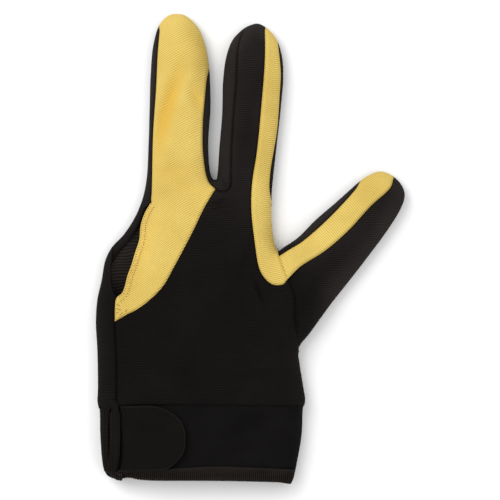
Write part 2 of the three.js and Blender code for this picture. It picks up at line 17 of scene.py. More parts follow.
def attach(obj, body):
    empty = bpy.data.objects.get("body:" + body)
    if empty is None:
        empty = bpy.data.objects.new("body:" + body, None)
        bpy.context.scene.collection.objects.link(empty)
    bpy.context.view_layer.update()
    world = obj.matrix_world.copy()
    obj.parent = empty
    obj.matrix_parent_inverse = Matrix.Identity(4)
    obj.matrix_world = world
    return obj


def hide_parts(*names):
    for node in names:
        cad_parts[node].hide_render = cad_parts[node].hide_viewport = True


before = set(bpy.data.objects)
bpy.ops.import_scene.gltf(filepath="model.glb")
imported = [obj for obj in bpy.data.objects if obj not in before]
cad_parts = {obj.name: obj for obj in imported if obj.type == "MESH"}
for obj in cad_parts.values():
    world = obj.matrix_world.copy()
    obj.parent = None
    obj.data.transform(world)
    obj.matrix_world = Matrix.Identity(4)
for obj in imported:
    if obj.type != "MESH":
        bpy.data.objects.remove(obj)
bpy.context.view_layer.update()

# Camera
# A long lens straight above the glove, with the fingertips at the top of the picture. Each pixel
# covers 0.48 mm at the height of the glove's widest line.
PICTURE_PIXELS = 500
MM_PER_PIXEL = 0.48
EYE_HEIGHT = 1500
PICTURE_MIDDLE = (-0.1, -0.3)
WIDEST_LINE = 4.0


def put_in_scene(name, data):
    """A new object with that name and data, in the scene."""
    thing = bpy.data.objects.new(name, data)
    bpy.context.scene.collection.objects.link(thing)
    return thing


eye = bpy.data.cameras.new("eye_above_the_glove")
eye.sensor_width = 36.0
eye.lens = eye.sensor_width * (EYE_HEIGHT - WIDEST_LINE) / (PICTURE_PIXELS * MM_PER_PIXEL)
camera = put_in_scene("eye_above_the_glove", eye)
camera.location = (PICTURE_MIDDLE[0] / 1000, PICTURE_MIDDLE[1] / 1000, EYE_HEIGHT / 1000)
bpy.context.scene.camera = camera

# Palm
# One piece of black knit that is the palm and the palm sides of the three fingers. It is cut to the
# outline of the hand, rounds up at the sides to the widest line, and is open at the wrist.
CUFF_LEFT = [(-64.6, -110.9), (-68.4, -108.9), (-70.3, -105.4), (-71.2, -100), (-72, -88), (-72.3, -76.5)]
HAND_LEFT = [
    (-73, -73.5), (-72.8, -66.5), (-73.1, -48.3), (-73.8, -34.8), (-73.1, -24.3), (-71, -14.7),
    (-69.2, -5.1), (-65.9, 1.2), (-60.6, 6.9), (-55.8, 14.1), (-51.7, 23.2),
]
MIDDLE_FINGER = [
    (-49.5, 33.3), (-48.5, 50.1), (-48, 66.9), (-47.5, 83.7), (-46.2, 98.1), (-43.4, 107.4), (-39, 112),
    (-35.3, 112.7), (-31.4, 112), (-25.5, 106.6), (-22, 98.4), (-20, 87), (-19.4, 75), (-19.4, 66.9),
    (-20.4, 52), (-20, 40.5),
]
CROTCH = [(-19.4, 36.4), (-18.4, 33.8), (-17, 33.1), (-15.9, 33.6), (-15.4, 36.4)]
INDEX_FINGER = [
    (-15, 41), (-14.6, 47.7), (-13.2, 64.5), (-12.7, 81.3), (-11.1, 92.8), (-8.3, 100.2), (-4.7, 104.3),
    (-2.2, 106.2), (0.6, 107.5), (3.5, 108.1), (7.2, 106.4), (11.9, 101.5), (14.8, 93.3), (15.6, 83.7),
    (14.3, 66.9), (11.9, 45.3), (10, 26.1), (10, 13.2), (11.4, 3),
]
THUMB = [
    (13.2, -1), (16.9, 1.2), (23.2, 5.5), (31.6, 13.9), (41.9, 22.8), (52.4, 32.1), (57, 35.3),
    (62.7, 37.1), (68.8, 34.6), (72.7, 30.2), (73.9, 25.9), (72.4, 20.6), (66.9, 11.2), (52.4, -8.4),
    (38.8, -25.7), (28.7, -39.6),
]
HAND_RIGHT = [(22.9, -47.6), (23.3, -54), (25.2, -66), (26.1, -72.5)]
CUFF_RIGHT = [(25.3, -76.5), (24.7, -89), (22.7, -101), (21.6, -106.4), (20.6, -110.5), (19.6, -112.5)]
WRIST_LEFT = (-73, -75.5)
WRIST_RIGHT = (25.6, -75.5)
CLOTH = 0.9
ROUND_STEPS = 7
LINE_PITCH = 0.75
PALM_PITCH = 2.2
POINTS_AT_ONCE = 2000
ROW_SHARE = 0.9
GRID_SHARE = 0.45
SAME_POINT = 1e-6


def spans_of(line):
    """The lengths between the points of a line."""
    return np.linalg.norm(np.diff(line, axis=0), axis=1)


def unit(ways):
    """Directions, each made one long."""
    return ways / np.linalg.norm(ways, axis=-1, keepdims=True)


def smooth_line(points, pitch=LINE_PITCH):
    """A centripetal spline through points, as points about pitch apart."""
    given = np.array(points, float)
    if len(given) < 3:
        count = max(2, int(np.linalg.norm(given[-1] - given[0]) / pitch) + 1)
        return given[0] + (given[-1] - given[0]) * np.linspace(0, 1, count)[:, None]
    ends = np.vstack([2 * given[0] - given[1], given, 2 * given[-1] - given[-2]])
    pieces = []
    for four in zip(ends, ends[1:], ends[2:], ends[3:]):
        a, b, c, d = four
        gaps = [math.sqrt(np.linalg.norm(q - p)) for p, q in zip(four, four[1:])]
        k = np.cumsum([0] + gaps)
        steps = max(2, math.ceil(np.linalg.norm(c - b) / pitch))
        t = np.linspace(k[1], k[2], steps, endpoint=False)[:, None]

        def lean(p, q, start, stop):
            return (p * (k[stop] - t) + q * (t - k[start])) / (k[stop] - k[start])

        ab, bc, cd = lean(a, b, 0, 1), lean(b, c, 1, 2), lean(c, d, 2, 3)
        pieces.append(lean(lean(ab, bc, 0, 2), lean(bc, cd, 1, 3), 1, 2))
    return np.vstack(pieces + [given[-1:]])


def ease(value):
    """0 to 1, smoothly, as the value goes from 0 to 1."""
    t = np.clip(value, 0, 1)
    return t * t * (3 - 2 * t)


def rising(value, start, over):
    """0 to 1, smoothly, as the value goes on from start, or down from it where over is negative."""
    return ease((value - start) / over)


def nearest(line, points):
    """For each point: how far off a line it is, its foot there, the place along it, and the way off."""
    starts, runs, spans = line[:-1], np.diff(line, axis=0), spans_of(line)
    before = np.concatenate([[0], np.cumsum(spans)[:-1]])
    square = np.stack([runs[:, 1], -runs[:, 0]], axis=1) / spans[:, None]
    found = []
    for chunk in np.array_split(points, len(points) // POINTS_AT_ONCE + 1):
        share = np.clip(((chunk[:, None] - starts) * runs).sum(2) / spans**2, 0, 1)
        feet = starts + share[..., None] * runs
        distance = np.linalg.norm(chunk[:, None] - feet, axis=2)
        best, row = distance.argmin(1), np.arange(len(chunk))
        along = before[best] + share[row, best] * spans[best]
        found.append((distance[row, best], feet[row, best], along, square[best]))
    return [np.concatenate(part) for part in zip(*found)]


def off_line(table, points):
    """How far points lie off the smooth line through a table."""
    return nearest(smooth_line(table), points)[0]


def place_along(line, along):
    """Points at places along a line."""
    reach = np.concatenate([[0], np.cumsum(spans_of(line))])
    return np.stack([np.interp(along, reach, line[:, axis]) for axis in range(line.shape[1])], axis=-1)


OUTLINE = smooth_line(
    CUFF_LEFT + HAND_LEFT + MIDDLE_FINGER + CROTCH + INDEX_FINGER + THUMB + HAND_RIGHT + CUFF_RIGHT
)


def edge(a, b, pitch=LINE_PITCH):
    """The stretch of the outline from near a to near b."""
    start, stop = nearest(OUTLINE, np.array([a, b]))[2]
    count = max(2, int(abs(stop - start) / pitch))
    return place_along(OUTLINE, np.linspace(start, stop, count))


def inside(loop, points):
    """Which points lie inside a closed loop."""
    x, y = points[:, :1], points[:, 1:]
    (ax, ay), (bx, by) = loop.T, np.roll(loop, -1, axis=0).T
    level = np.where(ay == by, 1.0, by - ay)
    crossing = ((ay > y) != (by > y)) & (x < ax + (y - ay) / level * (bx - ax))
    return crossing.sum(1) % 2 == 1


def fill(loop, pitch, edge_rows=()):
    """Points and triangles that fill a loop: the loop, rows along its inside, and an even grid."""
    heading = np.roll(loop, -1, axis=0) - np.roll(loop, 1, axis=0)
    turn = 1 if np.cross(loop, np.roll(loop, -1, axis=0)).sum() > 0 else -1
    inward = unit(turn * np.stack([-heading[:, 1], heading[:, 0]], axis=1))
    closed = np.vstack([loop, loop[:1]])
    inner = []
    for row in edge_rows:
        moved = loop + inward * row
        inner.append(moved[nearest(closed, moved)[0] > ROW_SHARE * row])
    low, high = loop.min(0), loop.max(0)
    grid = np.mgrid[low[0]:high[0]:pitch, low[1]:high[1]:pitch].reshape(2, -1).T
    room = (edge_rows[-1] if edge_rows else 0) + GRID_SHARE * pitch
    inner.append(grid[nearest(closed, grid)[0] > room])
    inner = np.vstack(inner)
    inner = inner[inside(loop, inner)]
    points = [Vector(p) for p in np.vstack([loop, inner])]
    made, _, cells, _, _, _ = delaunay_2d_cdt(points, [], [list(range(len(loop)))], 1, SAME_POINT)
    return np.array(made), [list(cell) for cell in cells]


class Thread:
    """One socket of a finish's nodes. Arithmetic on threads adds Math nodes."""

    def __init__(self, finish, socket=None):
        self.finish = finish
        self.socket = socket

    def node(self, kind, settings=None, sockets=None, output=0):
        """Adds a node: its settings first, then the values or threads of its sockets."""
        made = self.finish.node_tree.nodes.new("ShaderNode" + kind)
        for name, value in (settings or {}).items():
            setattr(made, name, value)
        for name, value in (sockets or {}).items():
            if isinstance(value, Thread):
                self.finish.node_tree.links.new(value.socket, made.inputs[name])
            else:
                made.inputs[name].default_value = value
        return Thread(self.finish, made.outputs[output] if made.outputs else None)

    def math(self, operation, *others):
        return self.node("Math", {"operation": operation}, dict(enumerate((self,) + others)))

    def __add__(self, other):
        return self.math("ADD", other)

    def __mul__(self, other):
        return self.math("MULTIPLY", other)

    def __sub__(self, other):
        return self.math("SUBTRACT", other)

    def __rsub__(self, other):
        return self.node("Math", {"operation": "SUBTRACT"}, {0: other, 1: self})

    __radd__ = __add__
    __rmul__ = __mul__

    def held(self):
        """The thread kept between 0 and 1."""
        return self.node("Clamp", {}, {"Value": self})

    def painted(self, name):
        """The value painted on the mesh under that name, kept between 0 and 1."""
        return self.node("Attribute", {"attribute_name": name}, {}, "Fac").held()

    def between(self, low, high):
        """A colour or thread from low, where this thread is 0, to high, where it is 1."""
        return self.node("Mix", {"data_type": "RGBA"}, {0: self, 6: low, 7: high}, output=2)


RELIEF_STRENGTH = 0.9
MATT = 0.92


def light_of(*steps):
    """A colour given in the eight-bit steps of a picture, as light."""
    shares = [step / 255 for step in steps]
    return tuple(v / 12.92 if v <= 0.04045 else ((v + 0.055) / 1.055) ** 2.4 for v in shares) + (1.0,)


def wave(place, pitch):
    """A smooth ripple from 0 to 1, one for each pitch."""
    return (place * (2 * math.pi / pitch)).math("SINE") * 0.5 + 0.5


def towards(place, x, y, z):
    """How far a place lies in a direction."""
    return place.node("VectorMath", {"operation": "DOT_PRODUCT"}, {0: place, 1: (x, y, z)}, "Value")


def cloth_place(finish, turn, drape=-0.3):
    """A place on the cloth in millimetres, how far it lies along a rib, and how far across the ribs.

    The ribs are turned by turn degrees. drape says how they slant with the height of the cloth."""
    place = Thread(finish).node("TexCoord", output="Object")
    place = place.node("VectorMath", {"operation": "SCALE"}, {0: place, "Scale": 1000.0})
    cos, sin = math.cos(math.radians(turn)), math.sin(math.radians(turn))
    return place, towards(place, cos, sin, 0.0), towards(place, -sin, cos, drape)


def speckle(place, size, detail=2.0):
    """Noise from 0 to 1 with lumps of about that size."""
    sockets = {"Vector": place, "Scale": 1.0 / size, "Detail": detail}
    return place.node("TexNoise", {"noise_dimensions": "3D"}, sockets, "Fac")


def close_finish(colour, height, relief, gloss):
    """Ends a finish: its colour, its relief in millimetres, and how much it shines."""
    sockets = {"Strength": RELIEF_STRENGTH, "Distance": relief / 1000, "Height": height}
    bump = height.node("Bump", {}, sockets, "Normal")
    sockets = {"Base Color": colour, "Roughness": MATT, "Specular IOR Level": gloss, "Normal": bump}
    skin = height.node("BsdfPrincipled", {}, sockets)
    height.node("OutputMaterial", {}, {"Surface": skin})


def new_finish(name):
    """A material with no nodes in it yet."""
    finish = bpy.data.materials.new(name)
    finish.use_nodes = True
    finish.node_tree.nodes.clear()
    return finish


# Pitch of the loops, how far the ribs shift them, and sizes of the fuzz and the cloud of tone
KNIT = {"loop": 0.8, "shift": 0.4, "fuzz": 0.35, "cloud": 20.0}
# Each sway of the ribs: its length, its share
KNIT_SWAYS = [(17.0, 4), (5.0, 1)]
# Shares of the ribs, the loops and the fuzz, and in the tone of the cloud too
KNIT_HEIGHT = (0.75, 0.2, 0.3)
KNIT_TONE = (0.5, 0.1, 0.35, 0.55)
KNIT_DARKER = 0.27
KNIT_RELIEF = 0.2
VEE_ROUND = 0.6


def weighed(threads, shares):
    """The sum of threads, each times its share."""
    total = threads[0] * shares[0]
    for thread, share in zip(threads[1:], shares[1:]):
        total = total + thread * share
    return total


def knit(
    name, groove, rib, painted_shade, turn=0, pitch=0.96, gloss=0.05, drape=-0.3, sway=0.8, vee=None, stretch_and_sheen=None
):
    """Stretch knit: fine ribs that sway a little, the loops along them, fuzz, and a painted shade colour in
    dents and seams.

    vee bends the ribs to a line in the plan: where that crosses the X axis, its lean and the bend.
    The last pair holds the groove's and the rib's lighter colour, painted where the knit is stretched and
    as painted sheen near the outline."""
    finish = new_finish(name)
    place, along, across = cloth_place(finish, turn, drape)
    if vee is not None:
        middle, lean, bend = vee
        aside = towards(place, 1.0, -lean, 0.0) - middle
        across = across - (aside * aside + VEE_ROUND).math("SQRT") * bend
    for length, share in KNIT_SWAYS:
        across = across + speckle(place, length, 1.0) * (share * sway)
    ribs = wave(across, pitch)
    loops = wave(along + ribs * KNIT["shift"], KNIT["loop"])
    fuzz = speckle(place, KNIT["fuzz"], 3.0)
    cloud = speckle(place, KNIT["cloud"])
    height = weighed((ribs, loops * ribs, fuzz), KNIT_HEIGHT)
    tone = (weighed((ribs, loops, fuzz, cloud), KNIT_TONE) - KNIT_DARKER).held()
    colour = tone.between(light_of(*groove), light_of(*rib))
    # Lighter colours painted for stretched knit, and as painted sheen near the outline
    if stretch_and_sheen is not None:
        groove, rib = stretch_and_sheen
        colour = place.painted("stretch_and_sheen").between(colour, tone.between(light_of(*groove), light_of(*rib)))
    # Painted shade: the darker colour where the dents and seams are painted
    colour = place.painted("painted_shade").between(colour, light_of(*painted_shade))
    close_finish(colour, height, KNIT_RELIEF, gloss)
    return finish


# Of the highest faces, the flattest one tells which way is up
FLATTEST = 0.001


def mesh_piece(name, points, faces, finish):
    """A smooth-shaded piece from points in millimetres, whose faces look the same way as its top does."""
    mesh = bpy.data.meshes.new(name)
    mesh.from_pydata((np.asarray(points) / 1000).tolist(), [], [list(map(int, face)) for face in faces])
    body = bmesh.new()
    body.from_mesh(mesh)
    bmesh.ops.recalc_face_normals(body, faces=body.faces)
    top = max(body.faces, key=lambda face: face.calc_center_median().z + FLATTEST * abs(face.normal.z))
    if top.normal.z < 0:
        bmesh.ops.reverse_faces(body, faces=body.faces)
    body.to_mesh(mesh)
    body.free()
    mesh.polygons.foreach_set("use_smooth", [True] * len(mesh.polygons))
    mesh.materials.append(finish)
    return put_in_scene(name, mesh)


def thicken(thing, thickness):
    """Gives a sheet its cloth's thickness, to the inside."""
    layer = thing.modifiers.new("cloth", "SOLIDIFY")
    layer.thickness = thickness / 1000
    layer.offset = -1.0
    return thing


def sewn_in(thing, slot, *nodes):
    """Puts a piece on the root, and hides the parts that it stands for. Its slot is not used."""
    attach(thing, "root")
    if nodes:
        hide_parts(*nodes)


def rim_row(line, way, turn, lift=0.0):
    """A row of points on the round side below the widest line, turned down by turn."""
    out = lift * math.cos(turn) - WIDEST_LINE * (1 - math.cos(turn))
    z = WIDEST_LINE - (WIDEST_LINE + lift) * math.sin(turn)
    return np.column_stack([line - way * out, np.full(len(line), z)])


def numbers(rows, columns, base=0, closed=False):
    """The numbers of points that follow each other in rows. A closed row ends where it starts."""
    return [[base + r * columns + c % columns for c in range(columns + closed)] for r in range(rows)]


def strip_faces(rows):
    """Quads between rows, each of them a list of point numbers."""
    return [
        (a[i], a[i + 1], b[i + 1], b[i]) for a, b in zip(rows, rows[1:]) for i in range(len(a) - 1)
    ]


def paint(thing, name, values):
    """Paints a value on each point of a piece, for its finish to read."""
    thing.data.attributes.new(name, "FLOAT", "POINT").data.foreach_set("value", values)


# The thumb begins some way along a direction of the plan, and some way to the right
THUMB_DIRECTION = (0.72, 0.4)
THUMB_ROOT = (8, 16)
THUMB_RIGHT = (16, 6)
# Where lighter knit is painted: stretched on the fingers, and as painted sheen near the outline
STRETCH_AND_SHEEN_FROM = (-20, 80)
STRETCH_AND_SHEEN = {"middle": 0.36, "sides": 0.9, "reach": 9.5, "hand": 0.15}


def on_thumb(points):
    """0 on the hand to 1 on the thumb."""
    return rising(points[:, :2] @ THUMB_DIRECTION, *THUMB_ROOT) * rising(points[:, 0], *THUMB_RIGHT)


def stretch_and_sheen_level(points):
    """Lighter knit painted on the fingers and the thumb for stretch, and most at their sides for painted
    sheen.
    """
    side = 1 - ease(nearest(OUTLINE, points[:, :2])[0] / STRETCH_AND_SHEEN["reach"])
    stretched = np.maximum(rising(points[:, 1], *STRETCH_AND_SHEEN_FROM), on_thumb(points))
    level = STRETCH_AND_SHEEN["middle"] + (STRETCH_AND_SHEEN["sides"] - STRETCH_AND_SHEEN["middle"]) * side
    return stretched * level + STRETCH_AND_SHEEN["hand"] * side * (1 - stretched)


# Black knit: its third colour is painted shade in dents and seams, its last pair the lighter knit painted
# for stretch and for painted sheen
black_knit = knit("black_knit", (6, 5, 5), (25, 22, 21), (4, 3, 3), stretch_and_sheen=((20, 18, 17), (55, 50, 48)))
# The palm's inner face has lighter ribs: painted light where the inside shows through the side opening
inner_face_painted_light = knit("black_knit_inner_face_painted_light", (8, 7, 7), (64, 58, 55), (8, 7, 7), turn=8, pitch=1.4, sway=1.3)
OPENING_RIM = [(-70.5, -12), (-69.2, -5.1), (-65.9, 1.2), (-60.6, 6.9), (-55.8, 14.1), (-53, 19)]
OPENING_RISE = 3.2
# Each pair like this one: where a rise or a fall begins, and over how far
OPENING_SLOPE = (2, 12)

palm_side = edge(WRIST_LEFT, WRIST_RIGHT)
palm_way = nearest(OUTLINE, palm_side)[3]
palm_rows = [
    rim_row(palm_side, palm_way, turn) for turn in np.linspace(0, math.pi / 2, ROUND_STEPS + 1)
]
side_count = len(palm_side)
flat_points, flat_faces = fill(palm_rows[-1][:, :2], PALM_PITCH)
palm_points = np.vstack(palm_rows[:-1] + [np.column_stack([flat_points, np.zeros(len(flat_points))])])
slope = 1 - rising(off_line(OPENING_RIM, palm_points[:, :2]), *OPENING_SLOPE)
palm_points[:, 2] = np.maximum(palm_points[:, 2], OPENING_RISE * slope)
palm_faces = strip_faces(numbers(ROUND_STEPS + 1, side_count))
palm_faces += [[ROUND_STEPS * side_count + i for i in cell] for cell in flat_faces]
palm = mesh_piece("palm_panel_cloth", palm_points, palm_faces, black_knit)
palm.data.flip_normals()
# Lighter knit painted for stretch, and as painted sheen near the outline
paint(palm, "stretch_and_sheen", stretch_and_sheen_level(palm_points))
thicken(palm, CLOTH).modifiers["cloth"].material_offset = 1
# The inner shell takes the lighter knit, painted light
palm.data.materials.append(inner_face_painted_light)
sewn_in(palm, "black_knit", "palm_panel")

# Back of the hand and of the index finger
# The large black panel. It runs from the tip of the index finger over the back of the hand to the
# cuff, and its edges are turned under where the yellow pieces and the gussets are sewn to it.
SHOULDER = 12.0
SHOULDER_ROUND = 2.4
ON_RIM = 0.05
FINGER_HEIGHT = 11.8
HAND_HEIGHT = 13.8
THUMB_HEIGHT = 11.0
HAND_RISE = (38, -50)
# Each ridge: height, half width, middle
CROWN_ACROSS = (1.5, 36, -24)
CROWN_ALONG = (1, 50, -46)
SWELL = 0.2
# Each swell: its length to a radian, its start in radians
SWELL_ACROSS = (7.1, 1.3)
SWELL_ALONG = (10.7, 0.4)
RIPPLE = {"height": 0.12, "slant": 0.7, "length": 4.3}
CALM_RIM = 5
CLOTH_LIFT = 0.3
SEAM_DIP = 0.7
SEAM_WIDTH = 0.55
SEAM_RUN_OUT = 1.2
SEAM_WELT = (0.18, 0.7, 1.5)
WELT_RUN_OUT = 3
SAME_PLACE = 0.2
GRID_PITCH = 0.8
STRIP_PITCH = 0.5
SEAM_SHADE = 0.5
YELLOW_SEAM_SHADE = 0.15
DENT_SHADE = 0.32
DEEPEST_SHADE = 2
EDGE_ROWS = (0.12, 0.35, 0.7, 1.15, 1.75)
WRAP_TURNS = (0.22, 0.44)
# Each soft dent in the back: middle, direction in degrees, half length, half width, depth
DENTS = [
    (-38, 71.5, 74, 15, 3.6, 2.0),
    (-30.5, 76, 70, 12, 2.4, -0.5),
    (-26, 72.7, 115, 7, 2.6, 1.1),
    (-38.5, 37, 10, 10, 3.0, 0.6),
    (-31, 30, -22, 9, 2.4, 0.6),
    (-51, 0, 70, 15, 3.6, 0.7),
    (4.4, -20.5, -69, 6.5, 1.0, 1.3),
    (-15.5, 22.5, 15, 4, 0.8, 0.7),
    (-15.0, 23.8, 12, 3.4, 0.5, -0.8),
    (-15.8, 19.8, 20, 4, 0.8, 0.6),
    (-13.5, 21.2, 18, 5, 0.5, -0.8),
    (-14, -28, 20, 22, 6.0, 0.4),
    (-40, -58, -8, 26, 3.0, 0.3),
    (6, -60, 6, 20, 2.6, 0.4),
    (38, -8, 45, 17, 5.0, 0.9),
    (27, -24, 60, 12, 3.5, 0.8),
    (0, 62, 80, 16, 2.4, 0.5),
    (-42, 57, 78, 12, 3.4, 1.2),
    (-12.7, 32.2, -62, 3.0, 0.55, 1.1),
    (-11.2, 31.4, -62, 2.6, 0.9, -0.7),
    (-2.5, -6, 75, 9, 1.6, 0.4),
]
INDEX_SEAM = [(-3.2, 105.5), (-5.8, 97), (-6.7, 79.4), (-8, 64), (-9.1, 44), (-9.2, 31.4)]
INDEX_HOOK = [(-9.2, 31.4), (-9.9, 29), (-12.2, 27.7), (-14.8, 27.8), (-16.7, 29)]
YELLOW_LOW = [
    (-16.7, 29), (-22.2, 19.4), (-27, 9.3), (-36.1, -8), (-42.3, -18.5), (-52.4, -27.6), (-59.6, -31.5),
    (-64.7, -34.4),
]
GUSSET_SEAM = [(-64.7, -34.4), (-63.8, -53.1), (-63.7, -68.4), (-64.2, -75.2)]
STRIPE_LEFT = [
    (7.2, 106.4), (7.1, 90.9), (5.3, 67.4), (3.4, 47.7), (0.9, 30.9), (0.6, 18.9), (2.1, 4.5), (4.3, -8.9),
    (6.6, -13.3), (10.2, -16.5), (13.2, -17.2),
]
STRIPE_END = [(13.2, -17.2), (16.1, -16.5), (17.8, -14.2)]
THUMB_FOLD = [(17.8, -14.2), (19.1, -17.3), (20.7, -22.4), (21, -32.9), (22.6, -44.9), (22.9, -47.6)]
FOLD_ROLL = (0.5, 1.1, 1.3)
FOLD_GROOVE = (0.4, 0.4)
GATHERS = {"pitch": 1.9, "depth": 0.4, "reach": 9.0, "run out": 0.6}
GATHERS_FROM = (-66, -8)
OPENING_EDGE = [
    (-47.5, 22.6), (-50.5, 17.5), (-52.4, 11.7), (-53.1, 4.5), (-54.9, -1.2), (-56.8, -7.5), (-58.7, -12.8),
    (-60.1, -18.3), (-61.3, -20.9), (-63.9, -23.0),
]
OPENING_SAG = 3.6
OPENING_SAG_REACH = 17


def ridge(room, height, width, middle=0.0):
    """The height at the middle, and next to nothing twice the width away from it."""
    return height * np.exp(-(((room - middle) / width) ** 2))


def dent_depth(points):
    """How far the dents make the cloth dip at each point."""
    depth = np.zeros(len(points))
    for x, y, turn, length, width, deep in DENTS:
        cos, sin = math.cos(math.radians(turn)), math.sin(math.radians(turn))
        dx, dy = points[:, 0] - x, points[:, 1] - y
        along, across = (dx * cos + dy * sin) / length, (dy * cos - dx * sin) / width
        depth += ridge(along, deep, 1) * ridge(across, 1, 1)
    return depth


def full_height(points):
    """The height of the glove over points of the plan that are well inside its edge."""
    x, y = points[:, 0], points[:, 1]
    full = FINGER_HEIGHT + (HAND_HEIGHT - FINGER_HEIGHT) * rising(y, *HAND_RISE)
    full = full + (THUMB_HEIGHT - full) * on_thumb(points)
    crown = ridge(x, *CROWN_ACROSS) * ridge(y, *CROWN_ALONG)
    sag = OPENING_SAG * (1 - ease(off_line(OPENING_EDGE, points) / OPENING_SAG_REACH))
    return full + crown - sag


def slack(points, away):
    """How high the loose cloth swells and is gathered, at points that far from the edge."""
    x, y = points[:, 0], points[:, 1]
    swell = SWELL * np.sin(x / SWELL_ACROSS[0] + SWELL_ACROSS[1])
    swell *= np.sin(y / SWELL_ALONG[0] + SWELL_ALONG[1])
    ripple = RIPPLE["height"] * np.sin((x + RIPPLE["slant"] * y) / RIPPLE["length"])
    gather = GATHERS["depth"] * np.sin(y * 2 * math.pi / GATHERS["pitch"])
    gather *= rising(y, *GATHERS_FROM) * ease(1 - away / GATHERS["reach"]) * ease(away / GATHERS["run out"])
    return (swell + ripple - dent_depth(points)) * ease(away / CALM_RIM) + gather


def glove_back(points, sink=0.0):
    """Heights and outward normals of the glove's back over the plan, and how far in from its edge."""
    away, feet, _, way = nearest(OUTLINE, points)
    rise = full_height(points) - WIDEST_LINE - sink
    left = 1 - np.clip(away / SHOULDER, 0, 1)
    profile = np.sqrt(1 - left**SHOULDER_ROUND)
    steepness = SHOULDER_ROUND / 2 * left ** (SHOULDER_ROUND - 1) / np.maximum(profile, 1e-3) / SHOULDER
    inward = np.where(away[:, None] > ON_RIM, (points - feet) / np.maximum(away, ON_RIM)[:, None], way)
    slope = rise * steepness
    normal = unit(np.column_stack([-slope[:, None] * inward, np.ones(len(points))]))
    return WIDEST_LINE + rise * profile + slack(points, away), normal, away


def line(*tables):
    """One line through tables of points, each of which starts where the one before it ends."""
    parts = [table if isinstance(table, np.ndarray) else smooth_line(table) for table in tables]
    joined = np.vstack(parts)
    return joined[np.append(spans_of(joined) > SAME_PLACE, True)]


def room_to(lines, points):
    """The distance of each point to the nearest of several lines."""
    return np.min([nearest(one, points)[0] for one in lines], axis=0)


def wrapped_rim(points, faces, loop, on_rim):
    """Points and faces with the cloth carried down round the rim, along each part of the loop on it."""
    ends = np.flatnonzero(np.diff(np.concatenate([[False], on_rim, [False]])))
    for start, stop in ends.reshape(-1, 2):
        if stop - start < 2:
            continue
        part = loop[start:stop]
        way = nearest(OUTLINE, part)[3]
        rows = [range(start, stop)]
        for turn in WRAP_TURNS:
            rows.append(range(len(points), len(points) + len(part)))
            points = np.vstack([points, rim_row(part, way, turn, CLOTH_LIFT)])
        faces = faces + strip_faces(rows)
    return points, faces


def panel(name, contour, finish, seams, sink=None, shape=None, pitch=GRID_PITCH, shade=SEAM_SHADE):
    """A panel of the glove's back, cut to a contour, that dips into its seams and wraps round the rim, with
    painted shade in its dents and seams.
    """
    loop = contour if np.linalg.norm(contour[0] - contour[-1]) > SAME_PLACE else contour[:-1]
    plan, cells = fill(loop, pitch, EDGE_ROWS)
    z, normal, away = glove_back(plan, 0.0 if sink is None else sink(plan))
    room = room_to(seams, plan)
    in_seam = ridge(room, 1, SEAM_WIDTH) * ease(away / SEAM_RUN_OUT)
    lift = CLOTH_LIFT - SEAM_DIP * in_seam + ridge(room, *SEAM_WELT) * ease(away / WELT_RUN_OUT)
    if shape is not None:
        lift += shape(plan)
    points = np.column_stack([plan, z]) + normal * lift[:, None]
    points, faces = wrapped_rim(points, cells, loop, away[: len(loop)] < ON_RIM)
    thing = mesh_piece(name, points, faces, finish)
    # Painted shade, darker in the soft dents and along the seams
    dents = np.clip(dent_depth(plan), 0, DEEPEST_SHADE) * ease(away / CALM_RIM)
    depth = np.zeros(len(points))
    depth[: len(plan)] = DENT_SHADE * dents + shade * in_seam
    paint(thing, "painted_shade", depth)
    # Lighter knit painted for stretch, and as painted sheen near the outline
    paint(thing, "stretch_and_sheen", stretch_and_sheen_level(points))
    return thicken(thing, CLOTH)


CUFF_SEAM_BACK = [(-64.2, -75.2), (-45, -74.6), (0, -74.7), (25.6, -75.0)]
back_contour = line(
    INDEX_SEAM, INDEX_HOOK, YELLOW_LOW, GUSSET_SEAM, CUFF_SEAM_BACK, edge((25.6, -75.0), (22.9, -47.6)),
    THUMB_FOLD[::-1], STRIPE_END[::-1], STRIPE_LEFT[::-1], edge((7.2, 106.4), (-3.2, 105.5)),
)
back_seams = [
    line(INDEX_SEAM, INDEX_HOOK, YELLOW_LOW, GUSSET_SEAM), smooth_line(CUFF_SEAM_BACK),
    line(STRIPE_LEFT, STRIPE_END),
]


def folded_edge(points):
    """The hand's cloth rolls over a little where it folds over the root of the thumb."""
    room = off_line(THUMB_FOLD, points)
    return ridge(room, *FOLD_ROLL) - ridge(room, *FOLD_GROOVE)


def cut_to(thing, width, length, *sewn_on):
    """Turns a width and a length in millimetres into metres, and does nothing more. The piece and the
    pieces sewn on are not used.
    """
    cut = (width / 1000, length / 1000)


back = panel("back_panel_cloth", back_contour, black_knit, back_seams, shape=folded_edge)
sewn_in(back, "black_knit", "back_panel")
cut_to(back, 96, 186)

# Gussets
# Narrow black strips at the sides of the fingers: between the middle and index fingers, at the
# outer side of the middle finger, above the thumb stripe, and from the side opening to the cuff.
YELLOW_LEFT = [
    (-43.4, 107.4), (-44.5, 93.8), (-45.2, 78), (-46.8, 54.9), (-47.3, 28.5), (-47.5, 22.6),
]
SIDE_SEAM = [(-63.9, -23.0), (-64.5, -25.4), (-64.7, -34.4)]
YELLOW_RIGHT = [(-20, 87), (-20.9, 78), (-22.4, 59.7), (-22.2, 45.3), (-19.8, 32.8), (-16.7, 29)]
THUMB_GUSSET_END = (53.2, 32.7)
THUMB_STRIPE_UPPER = [
    (13.8, -2.9), (18.5, 0.1), (24.2, 3.5), (34.1, 11.8), (44.5, 22.3), (50.6, 29.3), THUMB_GUSSET_END,
]
STRIPE_RIM = [
    (12.9, 99.4), (14.2, 92.3), (14.8, 84), (14.1, 72), (12.9, 58), (11.4, 47.2), (9.9, 36.7), (9.4, 28.6),
    (10.0, 21),
]
